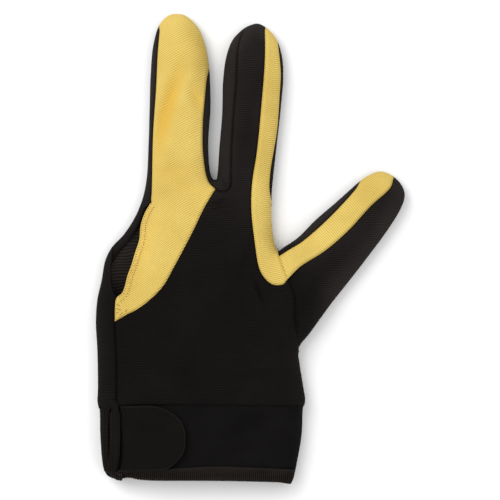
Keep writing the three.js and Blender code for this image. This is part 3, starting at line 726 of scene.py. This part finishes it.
GUSSET_TOP = [(-63.9, -23.0), (-65.5, -21), (-66.5, -17), (-66.8, -12), (-66.6, -6), (-65.9, 1.2)]
GUSSET_SLUMP = {"depth": 1.6, "reach": 12}
GUSSET_OUTWARD = (-64, -4)
GUSSET_FOOT = [(-72.8, -75.5), (-64.2, -75.2)]
GUSSET_END = [(-53.6, 19.3), (-50.4, 20.2), (-47.5, 22.6)]


def slump(points):
    """How much lower the side gusset lies where it runs out into the hem of the opening."""
    near = 1 - ease(off_line(GUSSET_TOP, points) / GUSSET_SLUMP["reach"])
    return GUSSET_SLUMP["depth"] * near * rising(points[:, 0], *GUSSET_OUTWARD)


# Each gusset's contour, and the seams it dips into
gusset_cuts = {
    "finger_gusset": (
        [edge((-20, 87), (-3.2, 105.5)), INDEX_SEAM, INDEX_HOOK, YELLOW_RIGHT[::-1]],
        [line(INDEX_SEAM, INDEX_HOOK), smooth_line(YELLOW_RIGHT)],
    ),
    "outer_gusset": (
        [edge((-43.4, 107.4), (-53.6, 19.3)), GUSSET_END, YELLOW_LEFT[::-1]],
        [smooth_line(YELLOW_LEFT)],
    ),
    "thumb_gusset": (
        [edge((13.2, -1), THUMB_GUSSET_END), THUMB_STRIPE_UPPER[::-1]],
        [smooth_line(THUMB_STRIPE_UPPER)],
    ),
    "side_gusset": (
        [edge((-65.9, 1.2), (-72.8, -75.4)), GUSSET_FOOT, GUSSET_SEAM[::-1], SIDE_SEAM[::-1], GUSSET_TOP],
        [line(SIDE_SEAM, GUSSET_SEAM), smooth_line(GUSSET_FOOT)],
    ),
}
strips = []
for node, (cut, seams) in gusset_cuts.items():
    lower = slump if node == "side_gusset" else None
    strip = panel(node + "_cloth", line(*cut), black_knit, seams, lower, pitch=STRIP_PITCH)
    sewn_in(strip, "black_knit", node)
    strips.append(strip)
index_rim = panel(
    "index_rim_cloth", line(edge((12.8, 99.6), (10, 21)), STRIPE_RIM[::-1]), black_knit,
    [smooth_line(STRIPE_RIM)], pitch=STRIP_PITCH,
)
sewn_in(index_rim, "black_knit")
strips.append(index_rim)

# Thumb
# The black back of the thumb, cut on its own. It is sewn along the lower edge of the yellow stripe,
# and slips below the hand's back where the hand folds over the root of the thumb.
THUMB_STRIPE_LOWER = [
    (17.8, -14.2), (23.7, -8.4), (35.7, -0.7), (47.1, 9.2), (57.5, 20.6), (67.4, 30), (68.8, 34.6),
]
THUMB_TUCK = [(22.9, -47.6), (20.4, -45), (18.6, -33), (18.2, -23), (16.9, -18), (17.8, -14.2)]
TUCK = {"depth": 1.7, "reach": 11}


def below_the_fold(points):
    """How much lower the thumb's back lies near the fold of the hand."""
    return TUCK["depth"] * (1 - ease(off_line(THUMB_FOLD, points) / TUCK["reach"]))


thumb_contour = line(THUMB_STRIPE_LOWER, edge((68.8, 34.6), (22.9, -47.6)), THUMB_TUCK)
thumb_seams = [smooth_line(THUMB_STRIPE_LOWER)]
thumb = panel("thumb_panel_cloth", thumb_contour, black_knit, thumb_seams, below_the_fold)
sewn_in(thumb, "black_knit", "thumb_panel")
cut_to(thumb, 48, 102)

# Yellow pieces
# Warm yellow knit: the panel over the middle finger that sweeps down to the side seam, and the
# stripes on the index finger and the thumb, which meet in a short seam. The edge of the large piece
# that lies free along the opening is turned under and sewn down with a zigzag stitch.
INDEX_VEE = (5.4, 0.07, 0.34)
STRIPE_JOINT = [(13.2, -1), (15.1, -7), (17.8, -14.2)]
# Colours of the groove, the rib and the painted shade in dents and seams
YELLOW_TONES = ((170, 139, 59), (231, 206, 117), (208, 163, 58))
TURNED_RISE = 0.25
TURNED_FROM = (3.4, -0.7)
TURNED_FOLD = (0.6, 0.35)
ZIGZAG = {"near": 0.7, "far": 2.6, "step": 1.15, "margin": 0.6}
HOLE_LENGTH = 0.4
HOLE_LIFT = 0.66
# Each tacking stitch at the lower end of the opening: start, stop
CORNER_TACKS = [
    ((-63.6, -24.2), (-62.4, -25.6)), ((-63.9, -26.0), (-62.2, -27.3)), ((-64.0, -28.2), (-61.6, -29.0)),
    ((-64.1, -30.4), (-62.6, -30.0)), ((-62.6, -31.7), (-60.4, -29.9)), ((-60.0, -30.0), (-58.4, -28.6)),
]
THREAD = 0.36
THREAD_PLY = 0.5
THREAD_SIDES = 6
# Each ring of an arched thread: share of its length, share of its girth, how far it rises
THREAD_RINGS = [(0.0, 0.3, -0.1), (0.2, 0.9, 0.12), (0.5, 1.0, 0.2), (0.8, 0.9, 0.12), (1.0, 0.3, -0.1)]


def yellow_knit(name, turn, drape=-0.3, vee=None):
    """The yellow knit, with its ribs turned to the way the piece was cut."""
    return knit(name, *YELLOW_TONES, turn, gloss=0.12, drape=drape, sway=0.55, vee=vee)


def turned_edge(points):
    """The thicker cloth along the opening, where the edge is turned under, and the round of its fold."""
    room = off_line(OPENING_EDGE, points)
    return TURNED_RISE * rising(room, *TURNED_FROM) - ridge(room, *TURNED_FOLD)


def turns_of(sides):
    """The turns of the corners of a round with that many sides."""
    return np.linspace(0, 2 * math.pi, sides, endpoint=False)


def tube_faces(rings):
    """The sides and the two ends of a tube, from the numbers of its closed rings."""
    return strip_faces(rings) + [rings[0][:-1], rings[-1][:-1]]


def stitches(name, starts, stops, finish):
    """Short threads, each arched from its start to its stop, joined in one mesh."""
    turns = turns_of(THREAD_SIDES)[:, None]
    points, faces = np.zeros((0, 3)), []
    for start, stop in zip(starts, stops):
        heading = unit(stop - start)
        beside = unit(np.cross(heading, (0, 0, 1)))
        above = np.cross(beside, heading)
        faces += tube_faces(numbers(len(THREAD_RINGS), THREAD_SIDES, len(points), closed=True))
        for share, girth, rise in THREAD_RINGS:
            middle = start + (stop - start) * share + above * rise * THREAD
            ring = (beside * np.cos(turns) + above * np.sin(turns)) * girth * THREAD / 2
            points = np.vstack([points, middle + ring])
    return mesh_piece(name, points, faces, finish)


def thread_finish(name, groove, rib):
    """Sewing thread, with fine ribs for its ply."""
    return knit(name, groove, rib, groove, pitch=THREAD_PLY)


def on_glove(plan, lift=0.0):
    """Points over the plan on the glove's back, lifted off it, and the normals there."""
    z, normal, _ = glove_back(plan)
    return np.column_stack([plan, z]) + normal * lift, normal


middle_contour = line(
    edge((-43.4, 107.4), (-20, 87)), YELLOW_RIGHT, YELLOW_LOW, SIDE_SEAM[::-1], OPENING_EDGE[::-1],
    YELLOW_LEFT[::-1],
)
middle_seams = [line(YELLOW_RIGHT, YELLOW_LOW, SIDE_SEAM[::-1]), smooth_line(YELLOW_LEFT)]
yellow_middle = yellow_knit("yellow_knit_middle", 32, -0.4)
middle = panel(
    "middle_finger_panel_cloth", middle_contour, yellow_middle, middle_seams, shape=turned_edge,
    shade=YELLOW_SEAM_SHADE,
)
sewn_in(middle, "yellow_knit", "middle_finger_panel")

index_contour = line(
    edge((7.2, 106.4), (12.9, 99.4)), STRIPE_RIM, edge((10, 20.9), (13.2, -1)), STRIPE_JOINT,
    STRIPE_END[::-1], STRIPE_LEFT[::-1],
)
index_seams = [line(STRIPE_LEFT, STRIPE_END, STRIPE_JOINT[::-1]), smooth_line(STRIPE_RIM)]
yellow_index = yellow_knit("yellow_knit_index", -4, -0.2, INDEX_VEE)
index = panel("index_stripe_cloth", index_contour, yellow_index, index_seams, shade=YELLOW_SEAM_SHADE)
sewn_in(index, "yellow_knit", "index_stripe")
cut_to(index, 16, 128)

thumb_stripe_contour = line(
    THUMB_STRIPE_UPPER, edge(THUMB_GUSSET_END, (68.8, 34.6)), THUMB_STRIPE_LOWER[::-1], STRIPE_JOINT[:0:-1],
    [(15.1, -7), (13.8, -2.9)],
)
thumb_stripe_seams = [smooth_line(THUMB_STRIPE_UPPER), line(STRIPE_JOINT, THUMB_STRIPE_LOWER)]
yellow_thumb = yellow_knit("yellow_knit_thumb", -47)
thumb_stripe = panel(
    "thumb_stripe_cloth", thumb_stripe_contour, yellow_thumb, thumb_stripe_seams, shade=YELLOW_SEAM_SHADE
)
sewn_in(thumb_stripe, "yellow_knit", "thumb_stripe")
cut_to(thumb_stripe, 14, 76)

hem_line = smooth_line(OPENING_EDGE)
last_step = spans_of(hem_line).sum() - ZIGZAG["margin"]
steps = np.arange(ZIGZAG["margin"], last_step, ZIGZAG["step"] / 2)
at = place_along(hem_line, steps)
off = np.where(np.arange(len(steps)) % 2 == 0, ZIGZAG["near"], ZIGZAG["far"])
aside = -nearest(hem_line, at)[3] * off[:, None]
zigzag = on_glove(at + aside, CLOTH_LIFT + TURNED_RISE)[0]
yellow_thread = thread_finish("yellow_thread", (214, 178, 86), (242, 212, 126))
opening_stitches = stitches("opening_stitches", zigzag[:-1], zigzag[1:], yellow_thread)
sewn_in(opening_stitches, "yellow_knit")
# Brown thread for the corner tacks, and for the painted shade in the needle holes
brown_thread_and_hole_shade = thread_finish("brown_thread_and_hole_shade", (112, 78, 26), (158, 114, 46))
# Short dark threads in the needle holes, standing in for painted shade there
hole_starts = on_glove(at + aside, HOLE_LIFT)[0]
hole_stops = on_glove(place_along(hem_line, steps + HOLE_LENGTH) + aside, HOLE_LIFT)[0]
hole_shade = stitches("needle_hole_shade", hole_starts, hole_stops, brown_thread_and_hole_shade)
sewn_in(hole_shade, "yellow_knit")
tack_starts, tack_stops = np.array(CORNER_TACKS).transpose(1, 0, 2)
corner_tacks = stitches(
    "corner_tacks", on_glove(tack_starts, CLOTH_LIFT)[0], on_glove(tack_stops, CLOTH_LIFT)[0], brown_thread_and_hole_shade
)
sewn_in(corner_tacks, "yellow_knit")
cut_to(middle, 42, 156, opening_stitches, hole_shade, corner_tacks)

# Hem of the side opening
# The palm's edge rolled over and stitched down, along the side where the ring and little fingers
# come out. It lies on the palm's rim and runs out under the side gusset.
HEM_START = (-49.4, 34)
HEM_STOP = (-70, -8)
HEM_WIDTH = (2.6, 4.2)
HEM_WIDENS = 1.4
HEM_HEIGHT = 3.6
HEM_MIDDLE = 4.8
HEM_TUCK = 0.2
HEM_SIDES = 24
HEM_PITCH = 0.6
# The hem starts thin and ends thinner again: by how much, and over which shares of its length
HEM_THIN = {"start": 0.65, "end": 0.3}
HEM_FULL_FROM = (0, 0.3)
HEM_THINNER_FROM = (0.8, 0.2)


def sweep(path, normals, profile):
    """A closed profile of (across, up) points carried along a path, with up along the normals.

    There is one profile for the whole path, or one for each point of it."""
    heading = unit(np.gradient(path, axis=0))
    across = unit(np.cross(heading, normals))
    up = np.cross(across, heading)
    ring = np.array(profile, float)
    if ring.ndim == 2:
        ring = np.repeat(ring[None], len(path), axis=0)
    points = path[:, None] + across[:, None] * ring[..., :1] + up[:, None] * ring[..., 1:]
    return points.reshape(-1, 3), tube_faces(numbers(*ring.shape[:2], closed=True))


hem_run = edge(HEM_START, HEM_STOP, HEM_PITCH)
hem_share = np.linspace(0, 1, len(hem_run))
hem_width = HEM_WIDTH[0] + (HEM_WIDTH[1] - HEM_WIDTH[0]) * ease(hem_share * HEM_WIDENS)
hem_round = np.column_stack([np.cos(turns_of(HEM_SIDES)), np.sin(turns_of(HEM_SIDES))])
hem_size = np.column_stack([hem_width, np.full(len(hem_run), HEM_HEIGHT)]) / 2
hem_taper = 1 - HEM_THIN["start"] * (1 - rising(hem_share, *HEM_FULL_FROM))
hem_taper -= HEM_THIN["end"] * rising(hem_share, *HEM_THINNER_FROM)
hem_profile = hem_round * (hem_size * hem_taper[:, None])[:, None]
hem_plan = hem_run + nearest(OUTLINE, hem_run)[3] * (hem_width / 2 - HEM_TUCK)[:, None]
hem_path = np.column_stack([hem_plan, np.full(len(hem_run), HEM_MIDDLE)])
hem_up = np.tile([0.0, 0.0, 1.0], (len(hem_path), 1))
hem_points, hem_faces = sweep(hem_path, hem_up, hem_profile)
hem = mesh_piece("opening_hem_roll", hem_points, hem_faces, black_knit)
# Lighter knit painted for stretch, and as painted sheen near the outline
paint(hem, "stretch_and_sheen", stretch_and_sheen_level(hem_points))
sewn_in(hem, "black_knit", "opening_hem")
cut_to(palm, 153, 192, hem, *strips)

# Cuff
# A band of smooth elastic cloth on thin foam, sewn to the hand in one seam round the wrist. It is
# slit at the side so that the hand goes in, and the slit's edges are bound with tape.
CUFF_THICKNESS = 1.4
CUFF_SETBACK = 0.4
# How far up a normal points where the cloth is set back in full
CUFF_FACES_UP = 0.5
CUFF_TOP = -73.8
BINDING_TOP = -105.0
CUFF_RINGS = 40
CUFF_STEPS = 120
CUFF_ROUND_STEPS = 9
# How much the points of a ring crowd to the cuff's sides
CUFF_CROWDING = 0.6
VENT = (-66.1, -65.8)
VENT_STEPS = 12
cuff_left, cuff_right = edge((-72.8, -66.5), (-64.6, -110.9)), edge((25.2, -66), (19.6, -112.5))


def cuff_ring(left, right, vent=None):
    """Points and normals round the cuff between two points of its sides. It is open at a vent."""
    def across(x):
        return left + (right - left) * (x - left[0]) / (right[0] - left[0])

    even = np.linspace(0, 1, CUFF_STEPS)
    crowded = (1 - np.cos(math.pi * even)) / 2
    share = crowded * CUFF_CROWDING + even * (1 - CUFF_CROWDING)
    start = left if vent is None else across(vent[1])
    tops = [start + (right - start) * share[:, None]]
    if vent is not None:
        tops.append(left + (across(vent[0]) - left) * np.linspace(0, 1, VENT_STEPS)[:, None])
    points, normals = [], []
    for top in tops:
        z, normal, _ = glove_back(top)
        points.append(np.column_stack([top, z]))
        normals.append(normal)
    turns = np.linspace(0, math.pi / 2, CUFF_ROUND_STEPS)[1:]
    inset = unit(right - left) * WIDEST_LINE
    rounds = []
    for middle, side in ((right - inset, turns), (left + inset, math.pi - turns[::-1])):
        out = np.column_stack([np.cos(side), 0 * side, -np.sin(side)])
        rounds.append((np.array([middle[0], middle[1], WIDEST_LINE]) + out * WIDEST_LINE, out))
    order = [(points[0], normals[0])] + rounds + list(zip(points[1:], normals[1:]))
    return np.vstack([p for p, _ in order]), np.vstack([n for _, n in order])


def cuff_rings(top, bottom, count, vent=None):
    """Rings of the cuff between two pairs of points at its sides."""
    left = nearest(cuff_left, np.array([top[0], bottom[0]]))[2]
    right = nearest(cuff_right, np.array([top[1], bottom[1]]))[2]
    rings = [
        cuff_ring(place_along(cuff_left, a), place_along(cuff_right, b), vent)
        for a, b in zip(np.linspace(*left, count), np.linspace(*right, count))
    ]
    return np.array([p for p, _ in rings]), np.array([n for _, n in rings])


BRUSHED = {"weave": 0.5, "cloud": 15.0, "sway": 0.5, "sway size": 6.0, "gloss": 0.05}
# Shares of the fibres and the weave, and in the tone of the cloud too
BRUSHED_HEIGHT = (0.8, 0.3)
BRUSHED_TONE = (0.5, 0.15, 0.5)
BRUSHED_DARKER = 0.2


def brushed_cloth(name, low, high, relief=0.1, size=0.5, ribs=0.0, rib_pitch=0.96):
    """Smooth or brushed cloth: short fibres over a fine weave, a soft cloud of tone, and ribs if any.

    The ribs are left out where "smooth" is painted, and the cloth is painted lighter where a highlight is
    painted on it."""
    finish = new_finish(name)
    place, along, across = cloth_place(finish, 0)
    fibre = speckle(place, size, 3.0)
    weave = wave(across, BRUSHED["weave"]) * wave(along, BRUSHED["weave"])
    cloud = speckle(place, BRUSHED["cloud"])
    lines = wave(along + speckle(place, BRUSHED["sway size"], 1.0) * BRUSHED["sway"], rib_pitch)
    lines = (lines - 0.5) * (1 - place.painted("smooth")) * ribs
    tone = weighed((fibre, weave, cloud), BRUSHED_TONE) + lines + place.painted("painted_highlight")
    colour = (tone - BRUSHED_DARKER).held().between(light_of(*low), light_of(*high))
    close_finish(colour, weighed((fibre, weave), BRUSHED_HEIGHT), relief, BRUSHED["gloss"])
    return finish


cuff_cloth = brushed_cloth("cuff_cloth", (7, 6, 7), (24, 22, 23))
cuff_top = ((-72.2, CUFF_TOP), (25.2, CUFF_TOP))
cuff_bottom = ((-70.4, BINDING_TOP), (21.8, BINDING_TOP))
cuff_points, cuff_normals = cuff_rings(cuff_top, cuff_bottom, CUFF_RINGS, VENT)
cuff_points = cuff_points - cuff_normals * CUFF_SETBACK * ease(cuff_normals[..., 2:] / CUFF_FACES_UP)
cuff_faces = strip_faces(numbers(*cuff_points.shape[:2]))
cuff = mesh_piece("cuff_band_cloth", cuff_points.reshape(-1, 3), cuff_faces, cuff_cloth)
thicken(cuff, CUFF_THICKNESS)
sewn_in(cuff, "cuff_cloth", "cuff_band")

# Ribbed binding of the cuff
# Ribbed tape folded over the lower edge of the cuff and stitched through. A smooth roll lies along
# its upper edge, and the ribs run down over the edge. Its ends are bunched up below the vent.
RIB_COUNT = 196
RIB_HEIGHT = 0.22
# Shares of the way down the binding
RIBS_BEGIN = (0.22, 0.1)
RIBS_SOFTEN = (0.75, 0.2)
RIBS_SOFTER = 0.75
ROLL = (0.8, 0.13, 0.1)
SMOOTH_ROLL = 0.3
BINDING_RINGS = 26
BINDING_POINTS = 1176
BINDING_FACES_UP = 0.6
BINDING_THICKNESS = 1.2
BINDING_UPPER = [
    (-70.3, -105), (-61, -105), (-45, -104.6), (-30, -104), (-17, -103.4), (-1, -103.9), (21.7, -105),
]
BINDING_LOWER = [
    (-64.6, -110.3), (-62.3, -108.9), (-57.8, -108.2), (-53.6, -109.4), (-47, -110.1), (-20, -110.3),
    (3, -110.6), (12, -110.9), (19.6, -112.5),
]
BINDING_STRAIGHT = ((-64.6, -110.9), (19.6, -112.5))
BUNCHED_FROM = (-48, -8)
BUNCHED_LEAN = 2.2
binding_tape = brushed_cloth("binding_tape", (8, 7, 6), (50, 45, 41), size=0.4, ribs=0.8)


def height_on(table, points):
    """The height in the plan of a table's smooth line at the points' places from left to right."""
    drawn = smooth_line(table)
    return np.interp(points[:, 0], drawn[:, 0], drawn[:, 1])


def rib_height(down):
    """The height of the ribs at a share of the way down: none on the roll, and low near the bottom."""
    return RIB_HEIGHT * rising(down, *RIBS_BEGIN) * (1 - RIBS_SOFTER * rising(down, *RIBS_SOFTEN))


def ribbed_binding():
    """The binding's outer side, with its roll and its ribs."""
    upper = ((-70.3, BINDING_TOP), (21.7, BINDING_TOP))
    rings, normals = cuff_rings(upper, BINDING_STRAIGHT, BINDING_RINGS)
    made = []
    for down, ring, normal in zip(np.linspace(0, 1, BINDING_RINGS), rings, normals):
        closed, leans = np.vstack([ring, ring[:1]]), np.vstack([normal, normal[:1]])
        reach = np.concatenate([[0], np.cumsum(spans_of(closed))])
        places = np.linspace(0, reach[-1], BINDING_POINTS, endpoint=False)
        spread = place_along(closed, places)
        lean = np.stack([np.interp(places, reach, leans[:, axis]) for axis in range(3)], axis=1)
        spread[:, 1] += (1 - down) * (height_on(BINDING_UPPER, spread) - BINDING_TOP)
        spread[:, 1] += down * (height_on(BINDING_LOWER, spread) - height_on(BINDING_STRAIGHT, spread))
        lean_over = BUNCHED_LEAN * down * rising(spread[:, 0], *BUNCHED_FROM)
        ribs = rib_height(down) * np.sin((places + lean_over) / reach[-1] * 2 * math.pi * RIB_COUNT)
        proud = ridge(down, *ROLL) + ribs
        made.append(spread + lean * (proud * ease(lean[:, 2] / BINDING_FACES_UP))[:, None])
    return np.array(made)


binding_points = ribbed_binding()
binding_faces = strip_faces(numbers(BINDING_RINGS, BINDING_POINTS, closed=True))
binding = mesh_piece("cuff_binding_cloth", binding_points.reshape(-1, 3), binding_faces, binding_tape)
smooth = np.exp(-((np.linspace(0, 1, BINDING_RINGS) / SMOOTH_ROLL) ** 4))
paint(binding, "smooth", np.repeat(smooth, BINDING_POINTS))
thicken(binding, BINDING_THICKNESS)
sewn_in(binding, "binding_tape", "cuff_binding")


# Each bunched end: its run, its half width
BUNCHED_ENDS = {
    "binding_end_outer": ([(-66.6, -105.4), (-65.6, -107.2), (-63.4, -109), (-60.9, -109.6)], 1.25),
    "binding_end_inner": ([(-64.2, -105.6), (-62.8, -107), (-60.6, -107.9)], 1.1),
}
BUNCHED_SHAPE = {"pitch": 0.25, "lift": 0.2, "sides": 20, "flat": 0.8, "tip": 0.02}
BUNCHED_FOLDS = {"depth": 0.14, "turn": 21, "skew": 1.5}


def bunched_end(name, path, girth):
    """One rolled end of the binding, caught in folds below the vent."""
    run = smooth_line(path, BUNCHED_SHAPE["pitch"])
    ground, up = on_glove(run, BUNCHED_SHAPE["lift"])
    share = np.linspace(0, 1, len(run))
    turns = turns_of(BUNCHED_SHAPE["sides"])
    folds = np.sin(share[:, None] * BUNCHED_FOLDS["turn"] + BUNCHED_FOLDS["skew"] * np.sin(turns))
    round_end = np.sqrt(np.clip(1 - (2 * share - 1) ** 4, BUNCHED_SHAPE["tip"], 1))[:, None]
    size = girth * round_end * (1 + BUNCHED_FOLDS["depth"] * folds)
    rolled = np.stack([np.cos(turns) * size, np.sin(turns) * size * BUNCHED_SHAPE["flat"]], axis=-1)
    roll = mesh_piece(name, *sweep(ground, up, rolled), binding_tape)
    sewn_in(roll, "binding_tape")
    return roll


binding_ends = [bunched_end(name, path, girth) for name, (path, girth) in BUNCHED_ENDS.items()]

# Tape round the vent
# Folded tape that binds both edges of the slit. It goes up one side, round the top in an arch and
# down the other side, and its ends are caught in the binding.
TAPE_PATH = [
    (-67.8, -105.6), (-68.4, -98), (-68.5, -80), (-67.9, -75.8), (-65.8, -73.3), (-64.3, -74.9),
    (-64.2, -79), (-64.2, -92), (-64.5, -99), (-65.8, -105.6),
]
TAPE_PITCH = 0.3
TAPE_LIFT = 0.1
# The right side begins at a share of the path. It lies higher, and gets wider below the arch
TAPE_RIGHT_FROM = (0.46, 0.1)
TAPE_RIGHT = {"lift": 0.8, "wider": 0.44}
TAPE_ARCH = (-76.5, -2.5)
TAPE_PROFILE = [
    (-1.8, -0.6), (-1.8, 0.4), (-1.5, 0.9), (-0.95, 1.05), (-0.4, 0.85), (0.35, 1.0), (0.85, 0.8),
    (1.3, 0.95), (1.75, 0.5), (1.75, -0.6),
]
tape_plan = smooth_line(TAPE_PATH, TAPE_PITCH)
tape_path, tape_up = on_glove(tape_plan, TAPE_LIFT)
tape_right = rising(np.linspace(0, 1, len(tape_plan)), *TAPE_RIGHT_FROM)
tape_path += tape_up * (TAPE_RIGHT["lift"] * tape_right)[:, None]
tape_wide = 1 + TAPE_RIGHT["wider"] * tape_right * rising(tape_plan[:, 1], *TAPE_ARCH)
tape_ring = np.array(TAPE_PROFILE) * np.column_stack([tape_wide, np.ones(len(tape_wide))])[:, None]
vent_tape = brushed_cloth("vent_tape", (9, 8, 7), (31, 28, 26), size=0.4, ribs=0.3, rib_pitch=1.3)
tape = mesh_piece("slit_binding_tape", *sweep(tape_path, tape_up, tape_ring), vent_tape)
sewn_in(tape, "binding_tape", "slit_binding")
cut_to(cuff, 202, 32, binding, tape, *binding_ends)

# Tab of the closure
# A flat tab of brushed loop cloth with a round end, stitched all round, which closes on a hook
# patch below it. It comes out from under the tape of the vent.
TAB_EDGE = [
    (-62.4, -74.7), (-54, -74.5), (-45.7, -74.5), (-39.3, -76.6), (-34.1, -80.3), (-31.3, -85.1),
    (-30.7, -90), (-31.4, -96.2), (-34.5, -100.8), (-39.7, -104.9), (-45, -105.6), (-54, -105.6),
    (-62.4, -105.6),
]
TAB_LIFT = {"low": 0.8, "more": 1.9}
TAB_LIFTS_FROM = (-62, 6)
TAB_THICKNESS = 1.0
TAB_SEAM = 1.25
TAB_ROUND = (0.7, 0.3)
TAB_GROOVE = (0.4, 0.3, TAB_SEAM)
TAB_STITCH = {"length": 1.5, "step": 2.1, "first": 2.0, "last": 3.0}
# The painted highlight along the tab's edge: its strength, its width, and how far in it lies
TAB_HIGHLIGHT = (0.55, 0.35, 0.45)
strap_cloth = brushed_cloth("strap_cloth", (8, 7, 6), (27, 24, 22), relief=0.14, size=0.6)
tab_line = smooth_line(TAB_EDGE)
tab_plan, tab_cells = fill(tab_line, GRID_PITCH, EDGE_ROWS)


def tab_surface(plan):
    """Points of the tab over the plan: a round edge, a groove for the seam, and a low start at the vent."""
    room = nearest(tab_line, plan)[0]
    ground, up = on_glove(plan)
    lift = TAB_LIFT["low"] + TAB_LIFT["more"] * rising(plan[:, 0], *TAB_LIFTS_FROM)
    lift -= ridge(room, *TAB_ROUND) + ridge(room, *TAB_GROOVE)
    return ground + up * lift[:, None]


strap = mesh_piece("wrist_strap_cloth", tab_surface(tab_plan), tab_cells, strap_cloth)
tab_room = nearest(tab_line, tab_plan)[0]
# A painted highlight along the tab's round edge, lighter just inside it
paint(strap, "painted_highlight", ridge(tab_room, *TAB_HIGHLIGHT))
thicken(strap, TAB_THICKNESS)
sewn_in(strap, "strap_cloth", "wrist_strap")

last_place = spans_of(tab_line).sum() - TAB_STITCH["last"]
tab_places = np.arange(TAB_STITCH["first"], last_place, TAB_STITCH["step"])
black_thread = thread_finish("black_thread", (8, 7, 7), (28, 25, 23))


def on_tab_seam(places):
    """Points on the tab's seam at places along its edge."""
    at = place_along(tab_line, places)
    return tab_surface(at + nearest(tab_line, at)[3] * TAB_SEAM)


tab_stitches = stitches(
    "tab_stitches", on_tab_seam(tab_places), on_tab_seam(tab_places + TAB_STITCH["length"]), black_thread
)
sewn_in(tab_stitches, "strap_cloth")
cut_to(strap, 34, 34, tab_stitches)

# Hook patch
# Moulded hook tape sewn below the tab's end. It stays hidden, and keeps the shape of its own solid.
hook_tape = brushed_cloth("hook_tape", (12, 12, 12), (40, 40, 40), relief=0.2, size=0.8)
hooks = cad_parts["hook_patch"]
hooks.data.materials.clear()
hooks.data.materials.append(hook_tape)

# Table top and light
# A plain, almost white table top, a soft white surround, and one large lamp at the upper left with a
# weaker one across from it.
TABLE = 3.0
TABLE_DROP = 0.0002
TABLE_GRAIN = {"size": 60.0, "relief": 0.01, "gloss": 0.2}
TABLE_WHITE = ((0.88, 0.88, 0.88, 1.0), (0.9, 0.9, 0.9, 1.0))
SURROUND_STRENGTH = 0.85
# Each lamp: its place and width in metres, and its watts
LAMPS = {
    "key_softbox": ((-0.7, 0.6, 1.0), 0.9, 11.0),
    "fill_softbox": ((0.9, -0.3, 1.2), 1.2, 4.0),
}
corners = [(-TABLE, -TABLE, 0), (TABLE, -TABLE, 0), (TABLE, TABLE, 0), (-TABLE, TABLE, 0)]
table_mesh = bpy.data.meshes.new("table_top")
table_mesh.from_pydata(corners, [], [(0, 1, 2, 3)])
table_top = put_in_scene("table_top", table_mesh)
table_top.location.z = -TABLE_DROP
table_paint = new_finish("table_paint")
grain = speckle(cloth_place(table_paint, 0)[0], TABLE_GRAIN["size"])
close_finish(grain.between(*TABLE_WHITE), grain, TABLE_GRAIN["relief"], TABLE_GRAIN["gloss"])
table_mesh.materials.append(table_paint)

surround = bpy.data.worlds.new("surround")
surround.use_nodes = True
surround.node_tree.nodes["Background"].inputs["Color"].default_value = (1.0, 1.0, 1.0, 1.0)
surround.node_tree.nodes["Background"].inputs["Strength"].default_value = SURROUND_STRENGTH
bpy.context.scene.world = surround
bpy.context.scene.view_settings.view_transform = "Standard"

for name, (place, size, watts) in LAMPS.items():
    lamp = bpy.data.lights.new(name, "AREA")
    lamp.size = size
    lamp.energy = watts
    softbox = put_in_scene(name, lamp)
    softbox.location = place
    softbox.rotation_euler = (-Vector(place)).to_track_quat("-Z", "Y").to_euler()
